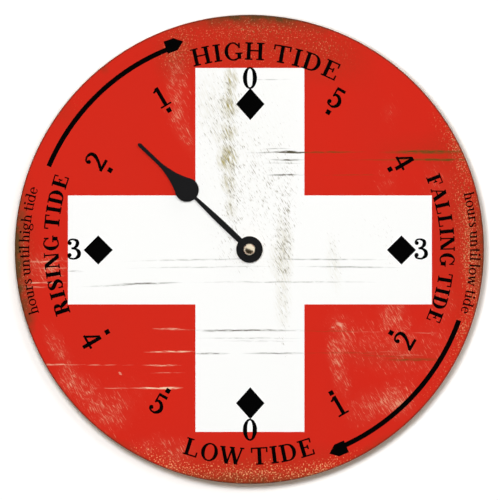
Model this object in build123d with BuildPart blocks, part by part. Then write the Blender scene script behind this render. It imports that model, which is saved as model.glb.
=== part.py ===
"""Tide clock: a round printed board on a quartz movement, with one hand that goes round once per tide.

Lengths are in millimetres and angles in degrees. The clock hangs on a wall that is the plane y = 0
and faces -Y, with +Z up and the hand's axis on the line x = z = 0. Heights are measured out from
the wall.
"""

import os
from math import cos, radians, sin

from build123d import *

os.makedirs("parts", exist_ok=True)

# Fits
RUNNING_FIT = 0.05
FREE_GAP = 0.3
HOLE_PLAY = 0.25

# Dial board
DIAL_DIAMETER = 266.7
DIAL_THICKNESS = 6.35
DIAL_FRONT_ROUND = 0.8
DIAL_BACK_ROUND = 0.3

# Stack that clamps the dial to the movement
BUSH_DIAMETER = 7.9
BUSH_FLANGE_DIAMETER = 11.0
BUSH_FLANGE_THICKNESS = 0.8
BUSH_PROUD = 0.5
GASKET_DIAMETER = 22.0
GASKET_THICKNESS = 1.0
WASHER_DIAMETER = 14.0
WASHER_THICKNESS = 0.6
NUT_ACROSS_FLATS = 12.0
NUT_THICKNESS = 2.2
NUT_BEVEL = 0.4

# Hanger strip with its keyhole
HANGER_THICKNESS = 0.8
HANGER_WIDTH = 22.0
HANGER_BELOW_AXIS = 12.0
HANGER_BEND_RADIUS = 1.6
HANGER_WALL_GAP = 2.2
HANGER_JOGGLE = 7.0
KEYHOLE_DIAMETER = 8.5
KEYHOLE_SLOT_WIDTH = 4.5
KEYHOLE_SLOT_RISE = 7.5
KEYHOLE_ABOVE_JOGGLE = 7.0
HANGER_TOP_MARGIN = 4.5

# Spade hand, its collet and its cap
HAND_ANGLE = 46.4
HAND_LENGTH = 87.0
HAND_THICKNESS = 0.6
HUB_DIAMETER = 15.0
STEM_WIDTH_AT_HUB = 2.7
STEM_WIDTH_MIDDLE = 3.3
STEM_WIDTH_AT_BULB = 1.7
BULB_DIAMETER = 13.6
BULB_FROM_AXIS = 49.1
TAPER_LEAVES_BULB = 37.0
TAPER_LENGTH = 17.3
TAPER_HOLLOW = 0.7
TIP_WIDTH = 2.1
ARBOR_DIAMETER = 5.0
COLLET_DIAMETER = 8.0
COLLET_HEIGHT = 2.2
RIVET_DIAMETER = 6.2
CAP_DIAMETER = 7.0
CAP_RIM_HEIGHT = 0.6
CAP_HEIGHT = 3.0
CAP_SCREW_DIAMETER = 3.0
CAP_SCREW_LENGTH = 1.8

# Movement case
SIDE_WALL = 1.6
FRONT_WALL = 1.6
PARTITION = 1.2
CASE_CORNER = 3.0
CASE_EDGE_ROUND = 0.8
ROOM_BELOW_AXIS = 10.4
TRAIN_TOP_ROOM = 1.7
COIL_SIDE_ROOM = 4.6
COVER_THICKNESS = 1.5
COVER_LIP_THICKNESS = 1.0
COVER_LIP_HEIGHT = 0.7
COVER_LIP_PLAY = 0.15
HOOK_WIDTH = 5.0
HOOK_LENGTH = 4.0
HOOK_BARB = 0.9
HOOK_BARB_HEIGHT = 1.4
HOOK_PLACES = (16.0, -3.0)
POST_RADIUS = 1.6
POST_PIN_RADIUS = 0.8
POST_INSET = 3.8
POST_RISE = 2.0

# Battery, size AA
BATTERY_LENGTH = 50.2
BATTERY_DIAMETER = 14.2
BATTERY_SLEEVE_THICKNESS = 0.15
BATTERY_NUB_DIAMETER = 5.5
BATTERY_NUB_LENGTH = 1.2
BATTERY_EDGE_ROUND = 0.8
CONTACT_THICKNESS = 0.4
CONTACT_WIDTH = 7.0
CONTACT_BOW = 1.2
CONTACT_TAB = 0.3

# Layers of wheels between the train plate and the front wall
PLATE_GAP = 0.9
PLATE_THICKNESS = 1.0
PLATE_INSET = 1.6
WHEEL_THICKNESS = 1.0
LAYER_GAP = 0.65
SPACER_HEIGHT = 0.5

# Teeth, in shares of the module or of the pitch
TOOTH_ADDENDUM = 0.9
TOOTH_DEDENDUM = 1.2
TOOTH_SHARE = 0.86
TIP_SHARE = 0.4
GOING_MODULE = 0.3
MOTION_MODULE = 0.4
ROTOR_TEETH = 8
INTERMEDIATE_TEETH = 40
INTERMEDIATE_PINION_TEETH = 10
SECOND_TEETH = 60
SECOND_PINION_TEETH = 8
THIRD_TEETH = 60
THIRD_PINION_TEETH = 8
CENTRE_TEETH = 64
CANNON_TEETH = 10
MINUTE_TEETH = 30
MINUTE_PINION_TEETH = 8
TIDE_TEETH = 32
SETTING_TEETH = 10

# Bearings from each axis to the next one, counter-clockwise from +X as seen from the front
CENTRE_TO_THIRD = 30
THIRD_TO_SECOND = 80
SECOND_TO_INTERMEDIATE = 180
INTERMEDIATE_TO_ROTOR = 190
CENTRE_TO_MINUTE = 200
MINUTE_TO_SETTING = 180

# Arbors and pivots
THIN_ARBOR_RADIUS = 0.6
PIVOT_RADIUS = 0.4
STOUT_ARBOR_RADIUS = 0.8
BOSS_RADIUS = 1.5
BOSS_HEIGHT = 1.3
PIVOT_LENGTH = 0.9
COLLAR_RADIUS = 1.6
COLLAR_HEIGHT = 0.3
WHEEL_HUB_RADIUS = 3.6

# Setting knob
KNOB_DIAMETER = 10.0
KNOB_THICKNESS = 1.8
KNOB_FLUTES = 24
KNOB_FLUTE_RADIUS = 0.45
KNOB_RECESS = 0.4
KNOB_GRIP_DIAMETER = 6.0
KNOB_GRIP_DEPTH = 0.5

# Stepping motor
MAGNET_RADIUS = 2.8
MAGNET_LENGTH = 3.0
MAGNET_AIR_GAP = 0.5
STATOR_THICKNESS = 0.8
STATOR_HALF_LENGTH = 9.5
STATOR_WAIST = 10.0
STATOR_ARM = 3.2
STATOR_ABOVE_PLATE = 7.6
COIL_FROM_ROTOR = 11.0
CORE_WIDTH = 3.0
BOBBIN_WIDTH = 8.6
BOBBIN_DEPTH = 7.8
BOBBIN_FLANGE = 0.8
BOBBIN_WALL = 0.9
WINDING_INSET = 0.5

# Circuit board
BOARD_THICKNESS = 1.0
BOARD_WIDTH = 12.8
BOARD_HEIGHT = 12.2
BOARD_SIDE_ROOM = 5.6
BOARD_BOTTOM_ROOM = 0.7
BOARD_ABOVE_PLATE = 0.8
BOARD_POST_SPAN = 9.6
BOARD_POST_FROM_EDGE = 1.7
CHIP_RADIUS = 2.2
CHIP_HEIGHT = 1.0
CHIP_FROM_CENTRE = (-1.9, 1.2)
CRYSTAL_RADIUS = 1.0
CRYSTAL_LENGTH = 6.0
CRYSTAL_FROM_CENTRE = (4.6, 1.4)


def level(height):
    """Plane parallel to the wall at this height, seen from the front: x to the right, y up."""
    return Plane.XZ.offset(height)


def beside(axis, distance, bearing):
    """Point at this distance and bearing from an axis."""
    turn = radians(bearing)
    return (axis[0] + distance * cos(turn), axis[1] + distance * sin(turn))


def spacing(teeth, mate_teeth, module):
    """Distance between the axes of two wheels in mesh."""
    return module * (teeth + mate_teeth) / 2


def in_mesh(turn, teeth, mate_teeth, bearing):
    """Turn of the mate's first tooth that sets a gap of the mate against a tooth of the wheel."""
    share = (bearing - turn) * teeth / 360
    return bearing + 180 - (0.5 - share) * 360 / mate_teeth


def tip_radius(teeth, module):
    """Radius over the tips of a wheel's teeth."""
    return (teeth / 2 + TOOTH_ADDENDUM) * module


def tooth_points(teeth, module, turn):
    """Corners of a toothed outline with radial flanks, with one tooth at this turn."""
    pitch = teeth * module / 2
    root = pitch - TOOTH_DEDENDUM * module
    tip = tip_radius(teeth, module)
    half = TOOTH_SHARE * 90 / teeth
    flank = ((root, -half), (pitch, -half), (tip, -half * TIP_SHARE))
    corners = []
    for tooth in range(teeth):
        middle = turn + 360 * tooth / teeth
        for radius, swing in flank:
            corners.append(beside((0, 0), radius, middle + swing))
        for radius, swing in reversed(flank):
            corners.append(beside((0, 0), radius, middle - swing))
    return corners


# Heights of the faces, from the wall outwards
plate_back = COVER_THICKNESS + PLATE_GAP
plate_front = plate_back + PLATE_THICKNESS
layer_pitch = WHEEL_THICKNESS + LAYER_GAP
intermediate_back = plate_front + LAYER_GAP
second_back = intermediate_back + layer_pitch
third_back = second_back + layer_pitch
centre_back = third_back + layer_pitch
minute_back = centre_back + layer_pitch
tide_back = minute_back + layer_pitch
tide_front = tide_back + WHEEL_THICKNESS
flange_back = tide_front + SPACER_HEIGHT + FREE_GAP
wall_inside = flange_back + BUSH_FLANGE_THICKNESS
case_front = wall_inside + FRONT_WALL
gasket_back = case_front + HANGER_THICKNESS
dial_back = gasket_back + GASKET_THICKNESS
dial_front = dial_back + DIAL_THICKNESS
nut_back = dial_front + WASHER_THICKNESS
nut_front = nut_back + NUT_THICKNESS
bush_front = nut_front + BUSH_PROUD
collet_back = bush_front + FREE_GAP
blade_back = collet_back + COLLET_HEIGHT
blade_front = blade_back + HAND_THICKNESS
boss_back = wall_inside - BOSS_HEIGHT

# Axes of the train and the turns that put every pair in mesh
centre_axis = (0, 0)
third_axis = beside(centre_axis, spacing(THIRD_PINION_TEETH, CENTRE_TEETH, GOING_MODULE), CENTRE_TO_THIRD)
second_axis = beside(third_axis, spacing(SECOND_PINION_TEETH, THIRD_TEETH, GOING_MODULE), THIRD_TO_SECOND)
intermediate_axis = beside(
    second_axis, spacing(INTERMEDIATE_PINION_TEETH, SECOND_TEETH, GOING_MODULE), SECOND_TO_INTERMEDIATE
)
rotor_axis = beside(
    intermediate_axis, spacing(ROTOR_TEETH, INTERMEDIATE_TEETH, GOING_MODULE), INTERMEDIATE_TO_ROTOR
)
minute_axis = beside(centre_axis, spacing(CANNON_TEETH, MINUTE_TEETH, MOTION_MODULE), CENTRE_TO_MINUTE)
setting_axis = beside(minute_axis, spacing(MINUTE_TEETH, SETTING_TEETH, MOTION_MODULE), MINUTE_TO_SETTING)

third_turn = in_mesh(0, CENTRE_TEETH, THIRD_PINION_TEETH, CENTRE_TO_THIRD)
second_turn = in_mesh(third_turn, THIRD_TEETH, SECOND_PINION_TEETH, THIRD_TO_SECOND)
intermediate_turn = in_mesh(second_turn, SECOND_TEETH, INTERMEDIATE_PINION_TEETH, SECOND_TO_INTERMEDIATE)
rotor_turn = in_mesh(intermediate_turn, INTERMEDIATE_TEETH, ROTOR_TEETH, INTERMEDIATE_TO_ROTOR)
minute_turn = in_mesh(0, CANNON_TEETH, MINUTE_TEETH, CENTRE_TO_MINUTE)
tide_turn = in_mesh(minute_turn, MINUTE_PINION_TEETH, TIDE_TEETH, CENTRE_TO_MINUTE - 180)
setting_turn = in_mesh(minute_turn, MINUTE_TEETH, SETTING_TEETH, MINUTE_TO_SETTING)

# Place of the motor
stator_back = plate_front + STATOR_ABOVE_PLATE
stator_front = stator_back + STATOR_THICKNESS
core_back = stator_back - STATOR_THICKNESS
core_middle = stator_back - STATOR_THICKNESS / 2
coil_x = rotor_axis[0] - COIL_FROM_ROTOR
arm_offset = STATOR_HALF_LENGTH - STATOR_ARM / 2
arm_places = [(coil_x, rotor_axis[1] + side * arm_offset) for side in (-1, 1)]
bobbin_length = 2 * (STATOR_HALF_LENGTH - STATOR_ARM - FREE_GAP)

# Outline of the case, seen from the front: the bay takes its width from the battery, and the wheel
# room is as wide, or wider where the train needs it.
room_above_axis = second_axis[1] + tip_radius(SECOND_TEETH, GOING_MODULE) + TRAIN_TOP_ROOM
bay_height = BATTERY_DIAMETER + 2 * FREE_GAP
bay_top = -ROOM_BELOW_AXIS - PARTITION
bay_middle = bay_top - bay_height / 2
bay_bottom = bay_top - bay_height
bay_half_width = (BATTERY_LENGTH + 2 * CONTACT_THICKNESS + CONTACT_BOW + 2 * FREE_GAP) / 2
room_half_width = max(bay_half_width, BOBBIN_WIDTH / 2 + COIL_SIDE_ROOM - coil_x)
inner_corner = CASE_CORNER - SIDE_WALL
room_case_width = 2 * (room_half_width + SIDE_WALL)
bay_case_width = 2 * (bay_half_width + SIDE_WALL)
case_top = room_above_axis + SIDE_WALL
case_bottom = bay_bottom - SIDE_WALL
cover_bottom = bay_top + PARTITION / 2
room_height = room_above_axis + ROOM_BELOW_AXIS
room_middle = (room_above_axis - ROOM_BELOW_AXIS) / 2
post_x = room_half_width - POST_INSET
post_places = [
    (side * post_x, z)
    for side in (-1, 1)
    for z in (room_above_axis - POST_RISE, -ROOM_BELOW_AXIS + POST_RISE)
]

# Place of the circuit board, in the lower right corner of the room
board_x = room_half_width - BOARD_SIDE_ROOM - BOARD_WIDTH / 2
board_z = -ROOM_BELOW_AXIS + BOARD_BOTTOM_ROOM + BOARD_HEIGHT / 2
board_back = plate_front + BOARD_ABOVE_PLATE
board_front = board_back + BOARD_THICKNESS
board_post_z = board_z - BOARD_HEIGHT / 2 + BOARD_POST_FROM_EDGE
board_posts = [(board_x + side * BOARD_POST_SPAN / 2, board_post_z) for side in (-1, 1)]

# Dial board: round fibreboard with eased edges and a hole for the bush.
with BuildPart() as dial_disc:
    with BuildSketch(level(dial_back)):
        Circle(DIAL_DIAMETER / 2)
        Circle(BUSH_DIAMETER / 2 + HOLE_PLAY, mode=Mode.SUBTRACT)
    extrude(amount=DIAL_THICKNESS)
    fillet(dial_disc.faces().sort_by(Axis.Y)[0].outer_wire().edges(), DIAL_FRONT_ROUND)
    fillet(dial_disc.faces().sort_by(Axis.Y)[-1].outer_wire().edges(), DIAL_BACK_ROUND)

# Front case: the moulded shell with the wheel room above and the battery bay below, open to the wall.
with BuildPart() as front_case:
    with BuildSketch(level(COVER_THICKNESS)) as case_outline:
        with Locations((0, case_top)):
            Rectangle(room_case_width, case_top - bay_top, align=(Align.CENTER, Align.MAX))
        with Locations((0, case_bottom)):
            Rectangle(bay_case_width, -ROOM_BELOW_AXIS - case_bottom, align=(Align.CENTER, Align.MIN))
        rows = case_outline.vertices().group_by(Axis.Y)
        fillet(rows[0] + rows[-1], CASE_CORNER)
    extrude(amount=case_front - COVER_THICKNESS)
    fillet(front_case.faces().sort_by(Axis.Y)[0].outer_wire().edges(), CASE_EDGE_ROUND)
    with BuildSketch(level(COVER_THICKNESS)):
        with Locations((0, room_middle)):
            RectangleRounded(2 * room_half_width, room_height, inner_corner)
        with Locations((0, bay_middle)):
            RectangleRounded(2 * bay_half_width, bay_height, inner_corner)
    extrude(amount=wall_inside - COVER_THICKNESS, mode=Mode.SUBTRACT)
    # Posts for the train plate, with pins that go through it.
    with BuildSketch(level(plate_front)):
        with Locations(*post_places):
            Circle(POST_RADIUS)
    extrude(amount=wall_inside - plate_front)
    with BuildSketch(level(plate_back)):
        with Locations(*post_places):
            Circle(POST_PIN_RADIUS)
    extrude(amount=PLATE_THICKNESS)
    # Posts for the stator and the core, and for the circuit board.
    with BuildSketch(level(stator_front)):
        with Locations(*arm_places):
            Circle(POST_RADIUS)
    extrude(amount=wall_inside - stator_front)
    with BuildSketch(level(core_back)):
        with Locations(*arm_places):
            Circle(POST_PIN_RADIUS)
    extrude(amount=stator_front - core_back)
    with BuildSketch(level(board_front)):
        with Locations(*board_posts):
            Circle(POST_RADIUS)
    extrude(amount=wall_inside - board_front)
    with BuildSketch(level(board_back)):
        with Locations(*board_posts):
            Circle(POST_PIN_RADIUS)
    extrude(amount=BOARD_THICKNESS)
    # Bosses for the front pivots, and the stud of the minute wheel.
    with BuildSketch(level(boss_back)):
        with Locations(third_axis, second_axis, intermediate_axis, rotor_axis, setting_axis):
            Circle(BOSS_RADIUS)
            Circle(PIVOT_RADIUS + RUNNING_FIT, mode=Mode.SUBTRACT)
    extrude(amount=BOSS_HEIGHT)
    with BuildSketch(level(boss_back)):
        with Locations(minute_axis):
            Circle(BOSS_RADIUS)
    extrude(amount=BOSS_HEIGHT)
    with BuildSketch(level(minute_back - FREE_GAP)):
        with Locations(minute_axis):
            Circle(STOUT_ARBOR_RADIUS)
    extrude(amount=boss_back - minute_back + FREE_GAP)
    # Hole for the bush.
    with BuildSketch(level(wall_inside)):
        Circle(BUSH_DIAMETER / 2)
    extrude(amount=FRONT_WALL, mode=Mode.SUBTRACT)
    # Windows that the hooks of the rear cover snap into.
    with BuildSketch(level(COVER_THICKNESS + HOOK_LENGTH - HOOK_BARB_HEIGHT - FREE_GAP)):
        for z in HOOK_PLACES:
            with Locations((0, z)):
                Rectangle(room_case_width, HOOK_WIDTH + 2 * FREE_GAP)
                Rectangle(2 * room_half_width, HOOK_WIDTH + 2 * FREE_GAP, mode=Mode.SUBTRACT)
    extrude(amount=HOOK_BARB_HEIGHT + 2 * FREE_GAP, mode=Mode.SUBTRACT)
    # Slots in the partition for the tabs of the battery contacts.
    with BuildSketch(level(wall_inside - FREE_GAP - BATTERY_DIAMETER / 2 - CONTACT_WIDTH / 2)):
        for side in (-1, 1):
            with Locations((side * (bay_half_width - CONTACT_THICKNESS), cover_bottom)):
                Rectangle(2 * CONTACT_THICKNESS, PARTITION + 2 * inner_corner)
    extrude(amount=CONTACT_WIDTH, mode=Mode.SUBTRACT)

# Rear cover: the snap-on back of the wheel room, with a round opening for the setting knob.
with BuildPart() as rear_cover:
    with BuildSketch(level(0)) as cover_outline:
        with Locations((0, cover_bottom)):
            Rectangle(room_case_width, case_top - cover_bottom, align=(Align.CENTER, Align.MIN))
        fillet(cover_outline.vertices().group_by(Axis.Y)[-1], CASE_CORNER)
    extrude(amount=COVER_THICKNESS)
    with BuildSketch(level(COVER_THICKNESS)):
        with Locations((0, room_middle)):
            Rectangle(2 * (room_half_width - COVER_LIP_PLAY), room_height - 2 * COVER_LIP_PLAY)
            Rectangle(
                2 * (room_half_width - COVER_LIP_PLAY - COVER_LIP_THICKNESS),
                room_height - 2 * (COVER_LIP_PLAY + COVER_LIP_THICKNESS),
                mode=Mode.SUBTRACT,
            )
            with GridLocations(2 * room_half_width, room_height, 2, 2):
                Rectangle(2 * CASE_CORNER, 2 * CASE_CORNER, mode=Mode.SUBTRACT)
    extrude(amount=COVER_LIP_HEIGHT)
    for side in (-1, 1):
        hook_outside = side * (room_half_width - COVER_LIP_PLAY)
        with BuildSketch(level(COVER_THICKNESS)):
            for z in HOOK_PLACES:
                with Locations((hook_outside - side * COVER_LIP_THICKNESS / 2, z)):
                    Rectangle(COVER_LIP_THICKNESS, HOOK_WIDTH)
        extrude(amount=HOOK_LENGTH)
        with BuildSketch(level(COVER_THICKNESS + HOOK_LENGTH - HOOK_BARB_HEIGHT)):
            for z in HOOK_PLACES:
                with Locations((hook_outside + side * HOOK_BARB / 2, z)):
                    Rectangle(HOOK_BARB, HOOK_WIDTH)
        extrude(amount=HOOK_BARB_HEIGHT)
    with BuildSketch(level(0)):
        with Locations(setting_axis):
            Circle(KNOB_DIAMETER / 2 + FREE_GAP)
    extrude(amount=COVER_THICKNESS, mode=Mode.SUBTRACT)
    fillet(rear_cover.faces().sort_by(Axis.Y)[-1].outer_wire().edges(), CASE_EDGE_ROUND / 2)

# Threaded bush: brass tube with a flange inside the case, through hanger, gasket, dial, washer and nut.
with BuildPart() as threaded_bush:
    with BuildSketch(level(flange_back)):
        Circle(BUSH_FLANGE_DIAMETER / 2)
    extrude(amount=BUSH_FLANGE_THICKNESS)
    with BuildSketch(level(wall_inside)):
        Circle(BUSH_DIAMETER / 2)
    extrude(amount=bush_front - wall_inside)
    with BuildSketch(level(flange_back)):
        Circle(ARBOR_DIAMETER / 2 + RUNNING_FIT)
    extrude(amount=bush_front - flange_back, mode=Mode.SUBTRACT)

# Rubber gasket between the hanger and the back of the dial.
with BuildPart() as rubber_gasket:
    with BuildSketch(level(gasket_back)):
        Circle(GASKET_DIAMETER / 2)
        Circle(BUSH_DIAMETER / 2 + HOLE_PLAY, mode=Mode.SUBTRACT)
    extrude(amount=GASKET_THICKNESS)

# Washer and hexagon nut in front of the dial.
with BuildPart() as dial_washer:
    with BuildSketch(level(dial_front)):
        Circle(WASHER_DIAMETER / 2)
        Circle(BUSH_DIAMETER / 2 + HOLE_PLAY, mode=Mode.SUBTRACT)
    extrude(amount=WASHER_THICKNESS)

with BuildPart() as hex_nut:
    with BuildSketch(level(nut_back)):
        RegularPolygon(NUT_ACROSS_FLATS / 2, 6, major_radius=False)
        Circle(BUSH_DIAMETER / 2, mode=Mode.SUBTRACT)
    extrude(amount=NUT_THICKNESS)
    chamfer(hex_nut.faces().sort_by(Axis.Y)[0].outer_wire().edges(), NUT_BEVEL)

# Hanger: a bent strip clamped behind the gasket, which runs up past the case, steps back to the wall
# and ends in a keyhole. Its side view is a path of heights and z, drawn on the plane x = 0.
hanger_middle = case_front + HANGER_THICKNESS / 2
tab_middle = HANGER_WALL_GAP + HANGER_THICKNESS / 2
joggle_start = case_top + 2 * HANGER_BEND_RADIUS
joggle_end = joggle_start + HANGER_JOGGLE
keyhole_z = joggle_end + KEYHOLE_ABOVE_JOGGLE
hanger_top = keyhole_z + KEYHOLE_SLOT_RISE + KEYHOLE_SLOT_WIDTH / 2 + HANGER_TOP_MARGIN

with BuildPart() as hanger_plate:
    with BuildLine(Plane.YZ) as hanger_path:
        FilletPolyline(
            (-hanger_middle, -HANGER_BELOW_AXIS),
            (-hanger_middle, joggle_start),
            (-tab_middle, joggle_end),
            (-tab_middle, hanger_top),
            radius=HANGER_BEND_RADIUS,
        )
    with BuildSketch(Plane.XY.offset(-HANGER_BELOW_AXIS)):
        with Locations((0, -hanger_middle)):
            Rectangle(HANGER_WIDTH, HANGER_THICKNESS)
    sweep(path=hanger_path.line)
    with BuildSketch(level(case_front)):
        Circle(BUSH_DIAMETER / 2 + HOLE_PLAY)
    extrude(amount=HANGER_THICKNESS, mode=Mode.SUBTRACT)
    with BuildSketch(level(HANGER_WALL_GAP)):
        with Locations((0, keyhole_z)):
            Circle(KEYHOLE_DIAMETER / 2)
        with Locations((0, keyhole_z + KEYHOLE_SLOT_RISE / 2)):
            Rectangle(KEYHOLE_SLOT_WIDTH, KEYHOLE_SLOT_RISE)
        with Locations((0, keyhole_z + KEYHOLE_SLOT_RISE)):
            Circle(KEYHOLE_SLOT_WIDTH / 2)
    extrude(amount=HANGER_THICKNESS, mode=Mode.SUBTRACT)
    strip_corners = hanger_plate.edges().filter_by(Axis.Y)
    fillet(strip_corners.group_by(Axis.Z)[0] + strip_corners.group_by(Axis.Z)[-1], CASE_CORNER)

# Train plate: carries the rear pivots and sits on the four posts.
with BuildPart() as train_plate:
    with BuildSketch(level(plate_back)):
        with Locations((0, room_middle)):
            Rectangle(2 * (room_half_width - PLATE_INSET), room_height - 2 * FREE_GAP)
        with Locations(*post_places):
            Circle(POST_PIN_RADIUS, mode=Mode.SUBTRACT)
        with Locations(third_axis, second_axis, intermediate_axis, rotor_axis, centre_axis):
            Circle(PIVOT_RADIUS + RUNNING_FIT, mode=Mode.SUBTRACT)
        with Locations(setting_axis):
            Circle(STOUT_ARBOR_RADIUS + RUNNING_FIT, mode=Mode.SUBTRACT)
    extrude(amount=PLATE_THICKNESS)

# Stator: a soft-iron strip with a round window for the rotor and two arms to the coil's core.
with BuildPart() as stator_plate:
    with BuildSketch(level(stator_back)):
        with Locations(rotor_axis):
            Rectangle(STATOR_ARM, 2 * STATOR_HALF_LENGTH)
            Circle(STATOR_WAIST / 2)
        for x, z in arm_places:
            with Locations(((x + rotor_axis[0]) / 2, z)):
                Rectangle(COIL_FROM_ROTOR + STATOR_ARM, STATOR_ARM)
        with Locations(rotor_axis):
            Circle(MAGNET_RADIUS + MAGNET_AIR_GAP, mode=Mode.SUBTRACT)
        with Locations(*arm_places):
            Circle(POST_PIN_RADIUS, mode=Mode.SUBTRACT)
    extrude(amount=STATOR_THICKNESS)

# Coil: a soft-iron core behind the stator's arms, a moulded bobbin on it and a copper winding.
with BuildPart() as coil_core:
    with BuildSketch(level(core_back)):
        with Locations((coil_x, rotor_axis[1])):
            Rectangle(CORE_WIDTH, 2 * STATOR_HALF_LENGTH)
        with Locations(*arm_places):
            Circle(POST_PIN_RADIUS, mode=Mode.SUBTRACT)
    extrude(amount=STATOR_THICKNESS)

bobbin_bottom = Plane.XY.offset(rotor_axis[1] - bobbin_length / 2)
coil_centre = (coil_x, -core_middle)
tube_width = CORE_WIDTH + 2 * BOBBIN_WALL
tube_depth = STATOR_THICKNESS + 2 * BOBBIN_WALL

with BuildPart() as coil_bobbin:
    with BuildSketch(bobbin_bottom, bobbin_bottom.offset(bobbin_length - BOBBIN_FLANGE)):
        with Locations(coil_centre):
            RectangleRounded(BOBBIN_WIDTH, BOBBIN_DEPTH, 1)
    extrude(amount=BOBBIN_FLANGE)
    with BuildSketch(bobbin_bottom):
        with Locations(coil_centre):
            Rectangle(tube_width, tube_depth)
    extrude(amount=bobbin_length)
    with BuildSketch(bobbin_bottom):
        with Locations(coil_centre):
            Rectangle(CORE_WIDTH, STATOR_THICKNESS)
    extrude(amount=bobbin_length, mode=Mode.SUBTRACT)

with BuildPart() as coil_winding:
    with BuildSketch(bobbin_bottom.offset(BOBBIN_FLANGE)):
        with Locations(coil_centre):
            RectangleRounded(BOBBIN_WIDTH - 2 * WINDING_INSET, BOBBIN_DEPTH - 2 * WINDING_INSET, 2)
            Rectangle(tube_width, tube_depth, mode=Mode.SUBTRACT)
    extrude(amount=bobbin_length - 2 * BOBBIN_FLANGE)

# Circuit board on two posts, with the chip under a drop of epoxy and the crystal in its can.
with BuildPart() as circuit_board:
    with BuildSketch(level(board_back)):
        with Locations((board_x, board_z)):
            Rectangle(BOARD_WIDTH, BOARD_HEIGHT)
        with Locations(*board_posts):
            Circle(POST_PIN_RADIUS, mode=Mode.SUBTRACT)
    extrude(amount=BOARD_THICKNESS)

with BuildPart() as chip_cap:
    with BuildSketch(level(board_front)):
        with Locations((board_x + CHIP_FROM_CENTRE[0], board_z + CHIP_FROM_CENTRE[1])):
            Circle(CHIP_RADIUS)
    extrude(amount=CHIP_HEIGHT)
    fillet(chip_cap.faces().sort_by(Axis.Y)[0].edges(), 0.8 * CHIP_HEIGHT)

crystal_x = board_x + CRYSTAL_FROM_CENTRE[0]
crystal_z = board_z + CRYSTAL_FROM_CENTRE[1]

with BuildPart() as quartz_crystal:
    with BuildSketch(Plane.XY.offset(crystal_z - CRYSTAL_LENGTH / 2)):
        with Locations((crystal_x, -(board_front + CRYSTAL_RADIUS))):
            Circle(CRYSTAL_RADIUS)
    extrude(amount=CRYSTAL_LENGTH)
    fillet(quartz_crystal.faces().sort_by(Axis.Z)[-1].edges(), CRYSTAL_RADIUS / 3)

# Battery: a steel cell with its nub to the right, in a printed sleeve. It lies in the bay and lifts
# out to the back.
battery_height = wall_inside - FREE_GAP - BATTERY_DIAMETER / 2
nub_end = bay_half_width - CONTACT_THICKNESS - FREE_GAP
cell_end = nub_end - BATTERY_NUB_LENGTH
cell_start = nub_end - BATTERY_LENGTH
cell_radius = BATTERY_DIAMETER / 2 - BATTERY_SLEEVE_THICKNESS
battery_plane = Plane.YZ.offset(cell_start)
battery_centre = (-battery_height, bay_middle)

with BuildPart() as battery_cell:
    with BuildSketch(battery_plane):
        with Locations(battery_centre):
            Circle(cell_radius)
    extrude(amount=cell_end - cell_start)
    fillet(battery_cell.edges().filter_by(GeomType.CIRCLE), BATTERY_EDGE_ROUND)
    with BuildSketch(Plane.YZ.offset(cell_end)):
        with Locations(battery_centre):
            Circle(BATTERY_NUB_DIAMETER / 2)
    extrude(amount=BATTERY_NUB_LENGTH)

with BuildPart() as battery_sleeve:
    with BuildSketch(battery_plane.offset(BATTERY_EDGE_ROUND)):
        with Locations(battery_centre):
            Circle(BATTERY_DIAMETER / 2)
            Circle(cell_radius, mode=Mode.SUBTRACT)
    extrude(amount=cell_end - cell_start - 2 * BATTERY_EDGE_ROUND)

# Battery contacts: strips on edge along the end walls, each with a tab through the partition.
contact_plane = level(battery_height - CONTACT_WIDTH / 2)
tab_top = bay_top + PARTITION + CONTACT_TAB

with BuildPart() as positive_contact:
    with BuildSketch(contact_plane):
        with Locations((bay_half_width, tab_top)):
            Rectangle(CONTACT_THICKNESS, tab_top - bay_bottom - inner_corner, align=(Align.MAX, Align.MAX))
    extrude(amount=CONTACT_WIDTH)

with BuildPart() as negative_contact:
    with BuildSketch(contact_plane):
        with Locations((-bay_half_width, tab_top)):
            Rectangle(CONTACT_THICKNESS, tab_top - bay_top + FREE_GAP, align=(Align.MIN, Align.MAX))
        with BuildLine():
            leaf_top = (-bay_half_width, bay_top - FREE_GAP)
            leaf_bottom = (-bay_half_width, bay_bottom + inner_corner)
            leaf_crown = (-bay_half_width + CONTACT_BOW, bay_middle)
            ThreePointArc(leaf_top, leaf_crown, leaf_bottom)
            Line(leaf_bottom, (leaf_bottom[0] + CONTACT_THICKNESS, leaf_bottom[1]))
            ThreePointArc(
                (leaf_bottom[0] + CONTACT_THICKNESS, leaf_bottom[1]),
                (leaf_crown[0] + CONTACT_THICKNESS, leaf_crown[1]),
                (leaf_top[0] + CONTACT_THICKNESS, leaf_top[1]),
            )
            Line((leaf_top[0] + CONTACT_THICKNESS, leaf_top[1]), leaf_top)
        make_face()
    extrude(amount=CONTACT_WIDTH)

# Hand blade: a flat spade hand with a round hub. One half of the outline is drawn with the hand
# pointing up, and mirrored.
bulb_radius = BULB_DIAMETER / 2
taper_start = beside((0, BULB_FROM_AXIS), bulb_radius, TAPER_LEAVES_BULB)
taper_end = (TIP_WIDTH / 2, taper_start[1] + TAPER_LENGTH)
taper_hollow = (
    (taper_start[0] + taper_end[0]) / 2 - TAPER_HOLLOW,
    (taper_start[1] + taper_end[1]) / 2 - TAPER_HOLLOW,
)
bulb_foot = BULB_FROM_AXIS - bulb_radius

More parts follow.
